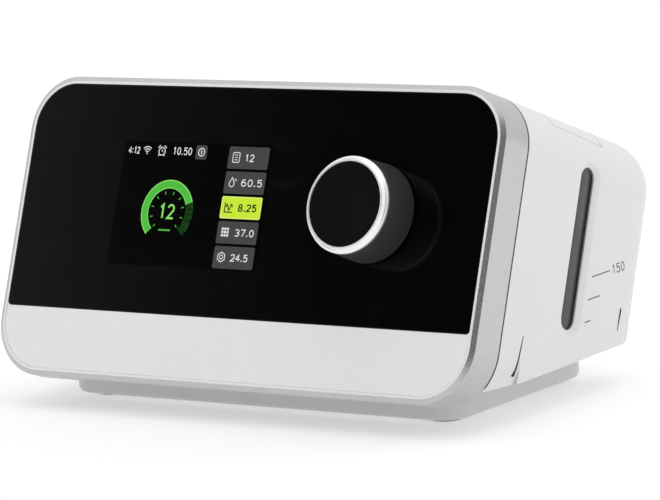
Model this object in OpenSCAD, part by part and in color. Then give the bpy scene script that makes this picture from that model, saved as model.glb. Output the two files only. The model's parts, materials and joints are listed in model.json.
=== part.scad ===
// Bedside positive-pressure breathing machine with a built-in humidifier.
// Two frames are used. The table frame has z up from the plinth's underside. The leaning frame is
// turned back by the lean of the face: x runs across, y runs back from the face at right angles
// to it, and z runs up the face. All sizes are in millimetres.

/* [Body] */
// Width across the front bezel
body_w = 222; // [200:1:250]
// Height of the leaning face, along the lean
face_h = 116; // [104:1:130]
// Distance from the table line to the lower edge of the face, along the lean
face_low = 12.3; // [11:0.1:14]
// Depth of the case, from the face to the rear wall
body_d = 108; // [97:1:125]
// Lean of the face back from upright, in degrees
lean = 21.5; // [20:0.5:23]
// Radius of the upper corners of the face
corner_top = 20.5; // [16:0.5:24]
// Radius of the lower corners of the face
corner_low = 22; // [18:0.5:25]
// Rounding between the rear wall and the sides and top
rear_r = 13; // [9:0.5:15]
// Rounding of the heel, where the rear wall meets the underside
heel_r = 11; // [8:0.5:13]
// Draft of each side wall towards the rear, in degrees
side_taper = 1.5; // [0.5:0.1:2]
// Wall thickness of the white case
shell_wall = 2.5; // [2:0.1:3]
// Height of the case's lower edge above the plinth's underside
shell_floor = 13; // [12:0.5:14]
// Depth at which the straight side skirts start
skirt_front = 30; // [26:0.5:34]
// Distance from the rear wall to the end of the straight side skirts
skirt_end = 16; // [12:0.5:20]

/* [Bezel, glass and fascia] */
// Depth of the metal band round the face
bezel_d = 15.2; // [14:0.1:16]
// Wall thickness of the metal band
bezel_t = 2.9; // [2.4:0.1:3.4]
// Width of the chamfer on the band's front edge
chamfer_w = 1.9; // [1:0.1:2.1]
// Depth of the chamfer on the band's front edge
chamfer_d = 1.0; // [0.5:0.1:1.5]
// Height of the band's flat underside above the plinth's underside
bezel_cut = 9; // [8.5:0.1:10]
// Width of the seam between the band and the white case
seam = 0.4; // [0.2:0.1:0.6]
// Height of the glass panel's lower edge, along the lean
glass_low = 38.5; // [34:0.5:44]
// Thickness of the glass panel and of the fascia
glass_t = 2.2; // [1.6:0.1:3]
// Gap round the glass and the fascia
panel_gap = 0.1; // [0.05:0.05:0.2]
// Thickness of the carrier plate behind the glass
carrier_t = 2.5; // [2:0.1:3]

/* [Screen and boards] */
// Width of the display module
display_w = 77.4; // [70:0.1:82]
// Height of the display module
display_h = 55; // [50:0.5:58]
// Thickness of the display module
display_t = 3.4; // [2.6:0.1:4]
// Distance of the display's centre from the case's left side
display_side = 84.1; // [76:0.1:90]
// Distance of the display's centre below the top of the face
display_drop = 48.1; // [44:0.1:54]
// Distance of the control board's ends from the case's sides
board_edge = 29; // [22:0.5:34]
// Height of the control board
board_h = 66; // [60:1:70]
// Thickness of every circuit board
board_t = 1.6; // [1.2:0.1:2]
// Space between the carrier plate and the control board
board_gap = 4.3; // [4:0.1:6]

/* [Knob] */
// Distance of the knob's centre from the case's right side
knob_side = 52.4; // [46:0.1:58]
// Distance of the knob's centre below the top of the face
knob_drop = 48.2; // [42:0.1:54]
// Radius of the knob's rear rim
knob_r = 18.6; // [17:0.1:20]
// Radius of the knob's sleeve at the bright ring
knob_front_r = 18; // [17.8:0.1:19]
// Height of the knob's front above the glass
knob_h = 18.4; // [16:0.1:22]
// Gap between the knob's rear rim and the glass
knob_gap = 0.9; // [0.9:0.1:1.5]
// Travel of the knob when it is pressed
knob_travel = 0.6; // [0.3:0.1:0.6]
// Height of the bright ring
ring_h = 2.6; // [2:0.1:3.5]
// Radius of the black cap inside the bright ring
cap_r = 15.7; // [14:0.1:16]
// Radius of the encoder shaft
shaft_r = 3; // [2.5:0.1:3.5]
// Running clearance round the encoder shaft
shaft_gap = 0.05; // [0.02:0.01:0.1]
// Outer radius of the encoder's threaded bush
bush_r = 4.6; // [4.2:0.1:5]
// Side of the encoder body
encoder_w = 16; // [15:0.5:18]

/* [Start key] */
// Radius of the start key
key_r = 7.5; // [6:0.1:8]
// Height of the start key above the case
key_proud = 1; // [0.5:0.1:1.5]
// Travel of the start key
key_travel = 0.8; // [0.4:0.1:0.8]
// Gap round the start key
key_gap = 0.3; // [0.3:0.05:0.4]

/* [Plinth] */
// Distance of the plinth's sides inside the case's sides
plinth_inset = 19.7; // [17:0.1:24]
// Front of the plinth in the table frame
plinth_front = 25.2; // [24:0.1:28]
// Distance of the plinth's rear end in front of the heel's centre
plinth_heel = 0.7; // [0.5:0.1:4]
// Radius of the plinth's upright corners
plinth_r = 11; // [8:0.5:14]
// Rounding of the plinth's lower edge
plinth_edge = 2.2; // [1:0.1:3]
// Wall thickness of the base
base_wall = 2.4; // [2:0.1:3]
// Place of the split line between the base's two halves
split_x = -4.2; // [-10:0.1:0]
// Height of the rubber feet below the plinth
foot_h = 1.5; // [1:0.1:2.5]
// Radius of the rubber feet
foot_r = 6; // [5:0.1:8]

/* [Water tank and lid] */
// Front edge of the lid's opening, behind the face
lid_front = 38; // [38:0.1:39.5]
// Depth of the rear compartment, from the lid's opening to the rear wall
rear_room = 36; // [35:0.1:40]
// Seam between the lid and the case
lid_gap = 0.5; // [0.5:0.05:0.7]
// Distance of the lid's ends inside the case's sides
lid_inset = 7; // [6.5:0.1:12]
// Thickness of the lid's skin
lid_t = 2.4; // [2:0.1:2.6]
// Radius of the lid's hinge pins
hinge_pin_r = 1; // [0.8:0.1:1.2]
// Distance of each hinge from the end of the tank's neck
hinge_inset = 26; // [16:0.5:40]
// Length of each hinge pin
hinge_len = 26; // [20:1:30]
// Wall thickness of the water tank
tank_wall = 1.8; // [1.5:0.1:2.2]
// Gap between the tank and its bay
tank_gap = 0.5; // [0.4:0.1:0.7]
// Height of the tank's underside above the plinth's underside
tank_low = 20; // [19:0.5:22]
// Thickness of the tank's metal base plate
tank_plate_t = 1.2; // [0.8:0.1:2]
// Distance of the tank's roof below the top of the face
tank_drop = 10.7; // [9.5:0.1:13]
// Wall thickness of the tank bay
bay_wall = 1.6; // [1.4:0.1:2]
// Thickness of the heater plate
heater_t = 2; // [1.5:0.1:2]

/* [Water window] */
// Distance of the window's centre in front of the lid's rear edge
window_front = 12.5; // [11:0.1:15]
// Lower end of the window opening, up the face
window_low = 50.8; // [46:0.1:56]
// Distance of the window opening's upper end below the top of the face
window_drop = 17.2; // [16.5:0.1:24]
// Half width of the window opening
window_r = 4.3; // [3.5:0.1:5]
// Width of the bevel round the window opening
bevel_w = 2.35; // [1.5:0.05:3]
// Depth of the window behind the case's side
window_sunk = 1.7; // [1.2:0.1:2]

/* [Blower and air path] */
// Distance of the blower's centre from the case's left side
blower_side = 49; // [42:0.5:54]
// Distance of the blower's centre below the top of the face
blower_drop = 38; // [36:0.1:40]
// Space between the blower and the rear wall
blower_gap = 4.5; // [4:0.1:6]
// Thickness of the blower's housing
blower_d = 25; // [22:0.5:26]
// Radius of the scroll where it opens into the throat
scroll_r = 23; // [22.5:0.1:25]
// Growth of the scroll over one turn
scroll_grow = 4.5; // [3.5:0.1:4.8]
// Width of the scroll's throat
throat_w = 13; // [11:0.1:14]
// Wall thickness of the blower's housing
scroll_wall = 1.8; // [1.4:0.1:2]
// Radius of the impeller
impeller_r = 18.3; // [16:0.1:18.5]
// Number of blades on the impeller
blade_count = 11; // [7:1:15]
// Radius of the air inlet's eye
eye_r = 10; // [8:0.1:11]
// Radius of the motor
motor_r = 13; // [11:0.5:15]
// Radius of the air duct's bore
duct_r = 6.2; // [5.5:0.1:6.5]
// Centre of the air duct across the case
duct_x = -14; // [-16:0.5:-12]
// Outer radius of the air outlet, for a 22 mm hose cuff
outlet_r = 11; // [10.5:0.1:11.5]
// Bore radius of the air outlet
outlet_bore_r = 9.5; // [8.5:0.1:9.6]
// Length of the air outlet behind the rear wall
outlet_len = 16; // [14:0.5:21]
// Distance of the air outlet's centre from the case's right side
outlet_side = 63; // [58:0.5:70]
// Distance of the air outlet's centre below the top of the face
outlet_drop = 32.3; // [28:0.1:38]

/* [Filter and power inlet] */
// Width of the filter opening, front to back
filter_w = 19; // [16:0.5:19]
// Height of the filter opening
filter_h = 41; // [34:0.5:41]
// Distance of the filter's centre in front of the rear wall
filter_back = 24; // [23.5:0.1:25]
// Distance of the filter's centre below the top of the face
filter_drop = 45.3; // [42:0.1:46]
// Thickness of the filter's cover
cover_t = 1.4; // [1.2:0.1:1.5]
// Radius of the power inlet's socket
jack_r = 3.2; // [2.8:0.1:3.6]
// Distance of the power inlet's centre from the case's right side
jack_side = 25; // [23:0.5:30]
// Distance of the power inlet's centre below the top of the face
jack_drop = 46.3; // [42:0.1:50]

/* [Fasteners] */
// Radius of the case screws' shanks
screw_r = 1.5; // [1.25:0.05:1.75]
// Radius of the case screws' heads
screw_head_r = 3; // [2.5:0.1:3.2]
// Distance of the case screws inside the case's sides
screw_inset = 12; // [11:0.5:13]

/* [Hidden] */
$fn = 64;

eps = 0.01;
big = 400;
half_w = body_w / 2;
face_top = face_low + face_h;
shell_y = bezel_d + seam;
skirt_back = body_d - skirt_end;
rear_in = body_d - shell_wall;
rear_seam = body_d - rear_r;
roof_in = face_top - shell_wall;

// Places on the face
display_x = -half_w + display_side;
display_z = face_top - display_drop;
knob_x = half_w - knob_side;
knob_z = face_top - knob_drop;

// The panels sit inside the bezel's lip.
panel_inset = bezel_t + panel_gap;
carrier_inset = bezel_t + 2 * panel_gap;
carrier_back = glass_t + carrier_t;
carrier_end = shell_y + 1.6;
ledge_top = shell_floor + 0.4;
board_front = carrier_back + board_gap;
board_back = board_front + board_t;
board_w = body_w - 2 * board_edge;

// Case, base and plinth
pan_top = shell_floor + base_wall;
pan_gap = 0.3;
heel_z = shell_floor + heel_r;
heel_y = lean_y_to_table(body_d - heel_r, heel_z);
plinth_hw = half_w - plinth_inset;
plinth_back = heel_y - plinth_heel;
screw_x = half_w - screw_inset;
screw_front = plinth_front + 17;
screw_back = plinth_back - 13;
post_r = screw_r + 2;
post_top = pan_top + 10;
rib_t = 2;
screw_len = 11;
foot_sunk = 0.6;
foot_inset = foot_r + 7;

// Tank, bay and lid, in the leaning frame
lid_back = body_d - rear_room;
lid_hw = half_w - lid_inset;
tank_top = face_top - tank_drop;
bay_top = tank_top - 0.6;
// The bay's upper corners stay inside the case's rounding.
case_corner_x = half_at(lid_back) - corner_top;
bay_rise = max(0, bay_top - face_top + corner_top);
bay_room = case_corner_x + sqrt(pow(corner_top - shell_wall, 2) - pow(bay_rise, 2)) - 0.2;
tank_front_y = lid_front + bay_wall + 1.4;
tank_back_y = lid_back - bay_wall - 1.4;
tank_hw = min(lid_hw - 1.2, bay_room - bay_wall - tank_gap);
bay_hw = tank_hw + tank_gap + bay_wall;
neck_hw = half_w - corner_top - 2.5;
neck_front_y = tank_front_y + 1;
neck_back_y = tank_back_y - 3.4;
neck_top = tank_top + 4;
hinge_x = neck_hw - hinge_inset;
window_y = lid_back - window_front;
window_high = face_top - window_drop;
hinge_r = lid_t;
hinge_z = face_top - hinge_r;
hinge_y = lid_back - lid_gap - hinge_r;
knuckle_w = 8;
knuckle_gap = 0.4;
seal_t = 1.4;
seal_gap = 0.3;
liner_low = neck_top + seal_gap + seal_t;
liner_top = face_top - lid_t;
plug_front_y = neck_front_y + tank_wall + 1.4;
plug_back_y = neck_back_y - tank_wall - 1;
plug_hw = neck_hw - tank_wall - 1;
plug_drop = 3.5;
plug_wall = 1.6;
heater_top = tank_low - 0.3;
heater_low = heater_top - heater_t;

// Blower, duct and outlet, in the leaning frame
blower_x = -half_w + blower_side;
blower_z = face_top - blower_drop;
blower_back = rear_in - blower_gap;
blower_y = blower_back - blower_d;
blower_split = blower_y + blower_d / 2;
throat_x = blower_x + scroll_r + 5;
throat_top = blower_z + scroll_r + scroll_wall;
throat_low = throat_top - throat_w - 2 * scroll_wall;
duct_z = (throat_top + throat_low) / 2;
seal_lip = 1.2;
bay_back_y = tank_back_y + tank_gap + bay_wall;
motor_back = blower_y + 8;
fan_front = motor_back + 1.2;
fan_back = blower_back - scroll_wall - 1.2;
motor_shaft_r = 1.5;
motor_hole_ring = 8;
mount_ring_r = eye_r + 7;
outlet_x = half_w - outlet_side;
outlet_z = face_top - outlet_drop;
outlet_end = body_d + outlet_len;
outlet_flange_r = outlet_r + 4;
outlet_edge = 0.6;

// The overall box is centred on the origin.
box_front = lean_y_to_back(0, face_low + chamfer_w);
box_back = lean_y_to_back(outlet_end, outlet_z + outlet_r - outlet_edge);
y_shift = -(box_front + box_back) / 2;

// Height above the plinth's underside of a leaning point.
function lean_height(y, z) = z * cos(lean) - y * sin(lean);
// Table-frame y of a leaning point.
function lean_y_to_back(y, z) = z * sin(lean) + y * cos(lean);
// Table-frame y of the leaning plane at depth y, at height h.
function lean_y_to_table(y, h) = (y + h * sin(lean)) / cos(lean);
// Leaning z of the point at depth y whose height is h.
function slope_at(y, h) = (h + y * sin(lean)) / cos(lean);
// Half width of the case at depth y.
function half_at(y) = half_w - max(0, y - bezel_d) * tan(side_taper);

module table_frame() {
    translate([0, y_shift, foot_h]) children();
}

module lean_frame() {
    table_frame() rotate([-lean, 0, 0]) children();
}

// Stands a profile drawn in x and z up in the leaning frame, from depth y0 to y1.
module along_y(y0, y1) {
    translate([0, y1, 0]) rotate([90, 0, 0]) linear_extrude(y1 - y0) children();
}

// A block given by its two corners.
module block(a, b) {
    translate(a) cube(b - a);
}

// A rod along y in the leaning frame.
module rod_y(x, z, r, y0, y1) {
    translate([x, y1, z]) rotate([90, 0, 0]) cylinder(r = r, h = y1 - y0);
}

// Rectangle with round corners, drawn from its corners.
module round_rect(x0, x1, z0, z1, r) {
    translate([x0 + r, z0]) square([x1 - x0 - 2 * r, z1 - z0]);
    translate([x0, z0 + r]) square([x1 - x0, z1 - z0 - 2 * r]);
    for (x = [x0 + r, x1 - r], z = [z0 + r, z1 - r]) translate([x, z]) circle(r);
}

// Outline of the face, drawn in by inset.
module face_outline(inset = 0) {
    hw = half_w - inset;
    low = face_low + inset;
    top = face_top - inset;
    rt = corner_top - inset;
    rl = corner_low - inset;
    translate([-hw, low + rl]) square([2 * hw, top - low - rl - rt]);
    translate([-hw + rl, low]) square([2 * (hw - rl), rl + eps]);
    translate([-hw + rt, top - rt - eps]) square([2 * (hw - rt), rt + eps]);
    for (s = [-1, 1]) {
        translate([s * (hw - rl), low + rl]) circle(rl);
        translate([s * (hw - rt), top - rt]) circle(rt);
    }
}

// One thin slice of the case: four corners that a hull joins.
module case_slice(y, inset, side) {
    hw = half_w - side - inset;
    rt = max(corner_top - inset, 2);
    rl = max(corner_low - inset, 2);
    along_y(y, y + eps) {
        for (s = [-1, 1]) {
            translate([s * (hw - rl), face_low + inset + rl]) circle(rl, $fn = 48);
            translate([s * (hw - rt), face_top - inset - rt]) circle(rt, $fn = 48);
        }
    }
}

// The leaning case as a solid, with every face moved in by w.
module case_body(w, front) {
    r = rear_r - w;
    hull() {
        case_slice(front, w, half_w - half_at(front));
        for (a = [0 : 15 : 90]) {
            case_slice(rear_seam + r * sin(a) - eps, w + r * (1 - cos(a)), half_w - half_at(rear_seam));
        }
    }
}

// The straight side skirts, as one block under the case.
module skirt_block(w) {
    low = -big / 4;
    high = face_low + corner_low + 4;
    hull() {
        for (y = [skirt_front + w, skirt_back - w]) {
            hw = half_at(y) - w;
            block([-hw, y - eps, low], [hw, y + eps, high]);
        }
    }
}

// Everything above the case's underside and in front of its heel, in the table frame.
module heel_envelope(w) {
    translate([-half_w, 0, 0]) rotate([90, 0, 90]) linear_extrude(body_w) hull() {
        translate([heel_y, heel_z]) rotate(-lean) circle(heel_r - w);
        translate([0, shell_floor + w]) square([1, big / 2]);
        translate([lean_y_to_table(body_d - w, big / 2) - 1, big / 2]) square(1);
    }
}

// A racetrack plate in the right side wall, from x0 to x1.
module side_track(r, x0, x1) {
    for (z = [window_low + window_r, window_high - window_r]) {
        translate([x0, window_y, z]) rotate([0, 90, 0]) cylinder(r = r, h = x1 - x0);
    }
    block([x0, window_y - r, window_low + window_r], [x1, window_y + r, window_high - window_r]);
}

// The bevel round the water window: a racetrack that widens outwards.
module side_bevel(x0, x1, w) {
    hull() {
        for (z = [window_low + window_r, window_high - window_r]) {
            translate([x0, window_y, z]) rotate([0, 90, 0])
                cylinder(r1 = window_r, r2 = window_r + w, h = x1 - x0, $fn = 48);
        }
    }
}

window_face = half_at(window_y) - window_sunk;
window_seat = window_face - 2.5;
lens_flange = 1;
filter_y = body_d - filter_back;
filter_z = face_top - filter_drop;
filter_face = -half_at(filter_y + filter_w / 2) + 0.2;
cover_in = filter_face + cover_t;
filter_rim = 1.5;
filter_frame_x = cover_in + 7.5;
foam_t = 5;
key_x = knob_x;
key_y = (shell_y + lid_front) / 2;
key_flange = 1.5;
key_flange_t = 2.2;
key_stem_r = 2.5;
key_post_gap = 5.5;
key_posts = key_r + key_post_gap;
key_post_r = 2;
switch_w = 7;
switch_h = 2.3;
key_board_z = roof_in - 9.8;
dish_r = 39;
dish_depth = 0.6;
board_post = 3;
jack_x = half_w - jack_side;
jack_z = face_top - jack_drop;
jack_w = 14;
jack_h = 13;
jack_back = rear_in - 11.5;
jack_depth = 9;
jack_nose_r = jack_r + 2.3;
power_w = 38;
power_h = 32;
power_post = 4;
power_post_r = 2.5;
scoop_r = 15;
scoop_len = 30;
scoop_front = lid_front - 8;
scoop_z = face_top + 9;

// White case: leaning box with skirts, open to the face, the base and the rear cover.
module main_shell() {
    color("whitesmoke") lean_frame() difference() {
        union() {
            intersection() {
                case_skin();
                block([-half_w, 0, -big / 2], [half_w, rear_seam, big]);
            }
            window_frame();
            filter_frame();
            key_holder();
            rotate([lean, 0, 0]) screw_posts();
        }
        shell_openings();
    }
}

// Rear cover: the rear wall with its rounding, which closes the case from behind.
module rear_cover() {
    color("whitesmoke") lean_frame() difference() {
        union() {
            intersection() {
                case_skin();
                block([-half_w, rear_seam, -big / 2], [half_w, big, big]);
            }
            rear_posts();
            cover_tabs();
        }
        rear_openings();
    }
}

// Tabs on the rear cover that reach under the case's roof.
module cover_tabs() {
    tab_w = 12;
    tab_t = 1.5;
    for (s = [-1, 1]) {
        x = s * (neck_hw - tab_w);
        low = roof_in - 0.1 - tab_t;
        block([x - tab_w / 2, rear_seam - 4, low], [x + tab_w / 2, rear_seam + 3, low + tab_t]);
        block([x - tab_w / 2, rear_seam, low], [x + tab_w / 2, rear_seam + 3, roof_in + 0.5]);
    }
}

module case_skin() {
    difference() {
        intersection() {
            union() {
                case_body(0, shell_y);
                skirt_block(0);
            }
            rotate([lean, 0, 0]) heel_envelope(0);
        }
        intersection() {
            union() {
                case_body(shell_wall, shell_y - 1);
                skirt_block(shell_wall);
            }
            rotate([lean, 0, 0]) case_hollow();
        }
    }
}

// The hollow follows the heel's rounding and opens downwards in front of it.
module case_hollow() {
    heel_envelope(shell_wall);
    block([-half_w, 0, 0], [half_w, heel_y, heel_z]);
}

module window_frame() {
    difference() {
        side_track(window_r + 3, window_seat, half_at(window_y + window_r) - 1);
        side_track(window_r + 1.4, window_seat - eps, window_seat + lens_flange + 0.1);
    }
}

module filter_frame() {
    y0 = filter_y - filter_w / 2;
    y1 = filter_y + filter_w / 2;
    z0 = filter_z - filter_h / 2;
    z1 = filter_z + filter_h / 2;
    difference() {
        block([cover_in - 0.3, y0 - 1.4, z0 - 1.4], [filter_frame_x, y1 + 1.4, z1 + 1.4]);
        block([cover_in - 1, y0, z0], [filter_frame_x - 1, y1, z1]);
        block([cover_in - 1, y0 + filter_rim, z0 + filter_rim],
              [filter_frame_x + 1, y1 - filter_rim, z1 - filter_rim]);
    }
}

module key_holder() {
    for (s = [-1, 1]) {
        translate([key_x + s * key_posts, key_y, key_board_z])
            cylinder(r = key_post_r, h = roof_in - key_board_z + 1);
    }
}

module rear_posts() {
    for (s = [-1, 1]) {
        rod_y(jack_x + s * (power_w / 2 - power_post), jack_z + s * (power_h / 2 - power_post),
              power_post_r, jack_back, rear_in + 1);
    }
}

// Four posts in the table frame, each with a rib to the side wall.
module screw_posts() {
    for (s = [-1, 1], y = [screw_front, screw_back]) {
        rib_end = half_at(y * cos(lean) - pan_top * sin(lean)) - shell_wall / 2;
        difference() {
            union() {
                translate([s * screw_x, y, pan_top]) cylinder(r = post_r, h = post_top - pan_top);
                block([min(s * screw_x, s * rib_end), y - rib_t / 2, pan_top],
                      [max(s * screw_x, s * rib_end), y + rib_t / 2, post_top]);
            }
            translate([s * screw_x, y, pan_top - eps])
                cylinder(r = screw_r + 0.02, h = screw_len - base_wall + 1);
        }
    }
}

module shell_openings() {
    // the way in for the tank and its lid
    block([-lid_hw - lid_gap, lid_front, tank_top - 10], [lid_hw + lid_gap, lid_back, face_top + 5]);
    // start key
    translate([key_x, key_y, roof_in - 1]) cylinder(r = key_r + key_gap, h = shell_wall + 2);
    // water window with its bevel
    side_track(window_r, window_seat - 1, half_w);
    side_bevel(window_face, window_face + window_sunk + 0.4, bevel_w * (1 + 0.4 / window_sunk));
    // filter cover and the way in for air
    block([-half_w, filter_y - filter_w / 2 - 1.4, filter_z - filter_h / 2 - 1.4],
          [cover_in + 0.05, filter_y + filter_w / 2 + 1.4, filter_z + filter_h / 2 + 1.4]);
    block([-half_w, filter_y - filter_w / 2, filter_z - filter_h / 2],
          [filter_frame_x - 1, filter_y + filter_w / 2, filter_z + filter_h / 2]);
}

// Ways out for the air outlet and the power inlet.
module rear_openings() {
    rod_y(outlet_x, outlet_z, outlet_r + 0.1, rear_in - 1, body_d + 1);
    rod_y(outlet_x, outlet_z, outlet_flange_r + 0.2, body_d - 0.8, body_d + 1);
    rod_y(jack_x, jack_z, jack_nose_r + 0.1, rear_in - 1, body_d + 1);
}

// Swept metal band with a chamfered front edge and a flat underside.
module front_bezel() {
    color("silver") lean_frame() intersection() {
        union() {
            difference() {
                hull() {
                    along_y(0, eps) face_outline(chamfer_w);
                    along_y(chamfer_d, bezel_d) face_outline();
                }
                along_y(-1, bezel_d + 1) face_outline(bezel_t);
            }
            bezel_ledge();
        }
        rotate([lean, 0, 0]) block([-half_w, -big / 2, bezel_cut], [half_w, big, big]);
    }
}

// Flat ledge that closes the band's underside behind the fascia.
module bezel_ledge() {
    intersection() {
        along_y(glass_t + panel_gap, bezel_d) face_outline(0.5);
        rotate([lean, 0, 0]) block([-half_w, -big / 2, bezel_cut], [half_w, big, ledge_top]);
    }
}

module lower_fascia() {
    color("gainsboro") lean_frame() along_y(0, glass_t) intersection() {
        face_outline(panel_inset);
        translate([-half_w, 0]) square([body_w, glass_low - panel_gap]);
    }
}

module front_glass() {
    color("black") lean_frame() difference() {
        along_y(0, glass_t) intersection() {
            face_outline(panel_inset);
            round_rect(-half_w + panel_inset, half_w - panel_inset, glass_low, face_top + 5, 1.6);
        }
        rod_y(knob_x, knob_z, bush_r + 0.2, -1, glass_t + 1);
    }
}

// Carrier: plate behind the glass, rim inside the band, and posts for the board.
module front_carrier() {
    color("dimgray") lean_frame() intersection() {
        difference() {
            union() {
                along_y(glass_t, carrier_back) face_outline(carrier_inset);
                along_y(glass_t, carrier_end) difference() {
                    face_outline(carrier_inset);
                    face_outline(carrier_inset + 2);
                }
                for (p = board_holes) rod_y(p[0], p[1], board_post, glass_t + 1, board_front);
            }
            block([display_x - display_w / 2 - 0.3, 0, display_z - display_h / 2 - 0.3],
                  [display_x + display_w / 2 + 0.3, carrier_back + 1, display_z + display_h / 2 + 0.3]);
            rod_y(knob_x, knob_z, bush_r + 0.1, 0, carrier_back + 1);
            for (p = board_holes) rod_y(p[0], p[1], 1, carrier_back, board_front + 1);
        }
        rotate([lean, 0, 0]) block([-half_w, -big / 2, pan_top + 0.2], [half_w, big, big]);
    }
}

board_low = display_z - board_h / 2;
board_holes = [for (s = [-1, 1], t = [-1, 1]) [s * (board_w / 2 - 5), display_z + t * (board_h / 2 - 5)]];

module display_module() {
    color("darkslategray") lean_frame() difference() {
        block([display_x - display_w / 2, glass_t, display_z - display_h / 2],
              [display_x + display_w / 2, glass_t + display_t, display_z + display_h / 2]);
        // back of the module is stepped for its driver strip
        block([display_x - display_w / 2 - 1, glass_t + display_t - 1, display_z - display_h / 2 - 1],
              [display_x + display_w / 2 + 1, glass_t + display_t + 1, display_z - display_h / 2 + 4]);
    }
}

module control_board() {
    chip_t = 1.4;
    // each chip: place from the display's centre, and its side
    chips = [[-23, 4, 14], [7, 12, 12], [33, -8, 10], [59, 16, 8], [-43, -16, 9]];
    color("darkgreen") lean_frame() difference() {
        union() {
            block([-board_w / 2, board_front, board_low], [board_w / 2, board_back, board_low + board_h]);
            for (c = chips) {
                x0 = display_x + c[0];
                z0 = display_z + c[1];
                block([x0, board_back - eps, z0], [x0 + c[2], board_back + chip_t, z0 + c[2]]);
            }
            // sockets for the screen's ribbon and the heater's lead
            block([display_x - 12, board_back - eps, board_low + 4],
                  [display_x + 12, board_back + 4, board_low + 9]);
            block([knob_x - 14, board_back - eps, board_low + 4],
                  [knob_x + 2, board_back + 5, board_low + 11]);
        }
        for (p = board_holes) rod_y(p[0], p[1], 1.4, board_front - 1, board_back + 1);
    }
}

// Places a turned piece on the knob's axis, with z out of the face.
module on_knob() {
    lean_frame() translate([knob_x, 0, knob_z]) rotate([90, 0, 0]) children();
}

plunger_r = encoder_w / 2 - 2.2;
plunger_t = 1.2;
shaft_back = -(carrier_back + 1.2);
shaft_front = knob_h - ring_h - 2.2;

// Encoder body with its bush; the cavity holds the plunger.
module encoder_body() {
    color("silver") on_knob() difference() {
        union() {
            translate([-encoder_w / 2, -encoder_w / 2, -board_front]) cube([encoder_w, encoder_w, board_gap]);
            translate([0, 0, -carrier_back - eps]) cylinder(r = bush_r, h = carrier_back + 1.5);
        }
        translate([0, 0, -carrier_back - 2]) cylinder(r = shaft_r + shaft_gap, h = big / 10);
        translate([0, 0, -board_front + 0.4]) cylinder(r = plunger_r + 0.3, h = board_gap - 1);
    }
}

module encoder_plunger() {
    color("gray") on_knob() translate([0, 0, shaft_back - plunger_t]) cylinder(r = plunger_r, h = plunger_t);
}

module encoder_shaft() {
    color("lightgray") on_knob() translate([0, 0, shaft_back])
        cylinder(r = shaft_r, h = shaft_front - shaft_back);
}

// Dark sleeve: a slightly flared cup with a boss for the shaft.
module knob_sleeve() {
    top = knob_h - ring_h;
    wall = 2;
    color("dimgray") on_knob() difference() {
        rotate_extrude($fn = 128) polygon([
            [0, top], [knob_front_r, top], [knob_r, knob_gap + 0.4], [knob_r - 0.4, knob_gap],
            [knob_r - wall, knob_gap], [knob_front_r - wall, top - wall], [shaft_r + 2.5, top - wall],
            [shaft_r + 2.5, 4], [0, 4]]);
        translate([0, 0, 3]) cylinder(r = shaft_r + 0.01, h = shaft_front - 3);
    }
}

// Bright ring: narrow front lip, wide chamfer and a fine step.
module knob_ring() {
    low = knob_h - ring_h;
    outer = knob_front_r - 0.1;
    color("white") on_knob() rotate_extrude($fn = 128) polygon([
        [cap_r + 0.05, low], [outer, low], [outer, low + 0.9], [outer - 0.4, low + 1.25],
        [outer - 0.75, low + 1.4], [outer - 1.3, knob_h - 0.15], [outer - 1.5, knob_h],
        [cap_r + 0.05, knob_h]]);
}

module knob_cap() {
    low = knob_h - ring_h;
    color("black") on_knob() rotate_extrude($fn = 128) polygon([
        [0, low], [cap_r, low], [cap_r, knob_h - 0.6], [cap_r - 0.3, knob_h - 0.3], [0, knob_h - 0.3]]);
}

// Start key: cap, flange under the roof and stem to the switch.
module start_key() {
    top = face_top + key_proud;
    flange_top = roof_in - 0.3;
    stem_low = key_board_z + switch_h + key_travel + 0.3;
    color("whitesmoke") lean_frame() translate([key_x, key_y, 0]) difference() {
        rotate_extrude() polygon([
            [0, stem_low], [key_stem_r, stem_low], [key_stem_r, flange_top - key_flange_t],
            [key_r + key_flange, flange_top - key_flange_t], [key_r + key_flange, flange_top],
            [key_r, flange_top], [key_r, top - 0.5], [key_r - 0.5, top], [0, top]]);
        // shallow dish for the fingertip
        translate([0, 0, top + dish_r - dish_depth]) sphere(r = dish_r, $fn = 96);
    }
}

module start_switch() {
    color("dimgray") lean_frame() {
        block([key_x - switch_w / 2, key_y - switch_w / 2, key_board_z],
              [key_x + switch_w / 2, key_y + switch_w / 2, key_board_z + switch_h]);
    }
}

module key_board() {
    color("darkgreen") lean_frame() {
        block([key_x - key_posts - 3, key_y - 5, key_board_z - board_t],
              [key_x + key_posts + 3, key_y + 5, key_board_z]);
    }
}

module window_lens() {
    color("darkgray", 0.6) lean_frame() {
        side_track(window_r - 0.05, window_seat + lens_flange - eps, window_face - 0.1);
        side_track(window_r + 1.3, window_seat, window_seat + lens_flange);
    }
}

// Outline of the plinth in the table frame.
module plinth_outline(inset) {
    hw = plinth_hw - inset;
    round_rect(-hw, hw, plinth_front + inset, plinth_back - inset, plinth_r - inset);
}

module plinth_hull() {
    hull() {
        linear_extrude(eps) plinth_outline(plinth_edge);
        translate([0, 0, 0.3 * plinth_edge]) linear_extrude(eps) plinth_outline(0.3 * plinth_edge);
        translate([0, 0, plinth_edge]) linear_extrude(shell_floor - plinth_edge + eps) plinth_outline(0);
    }
}

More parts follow.
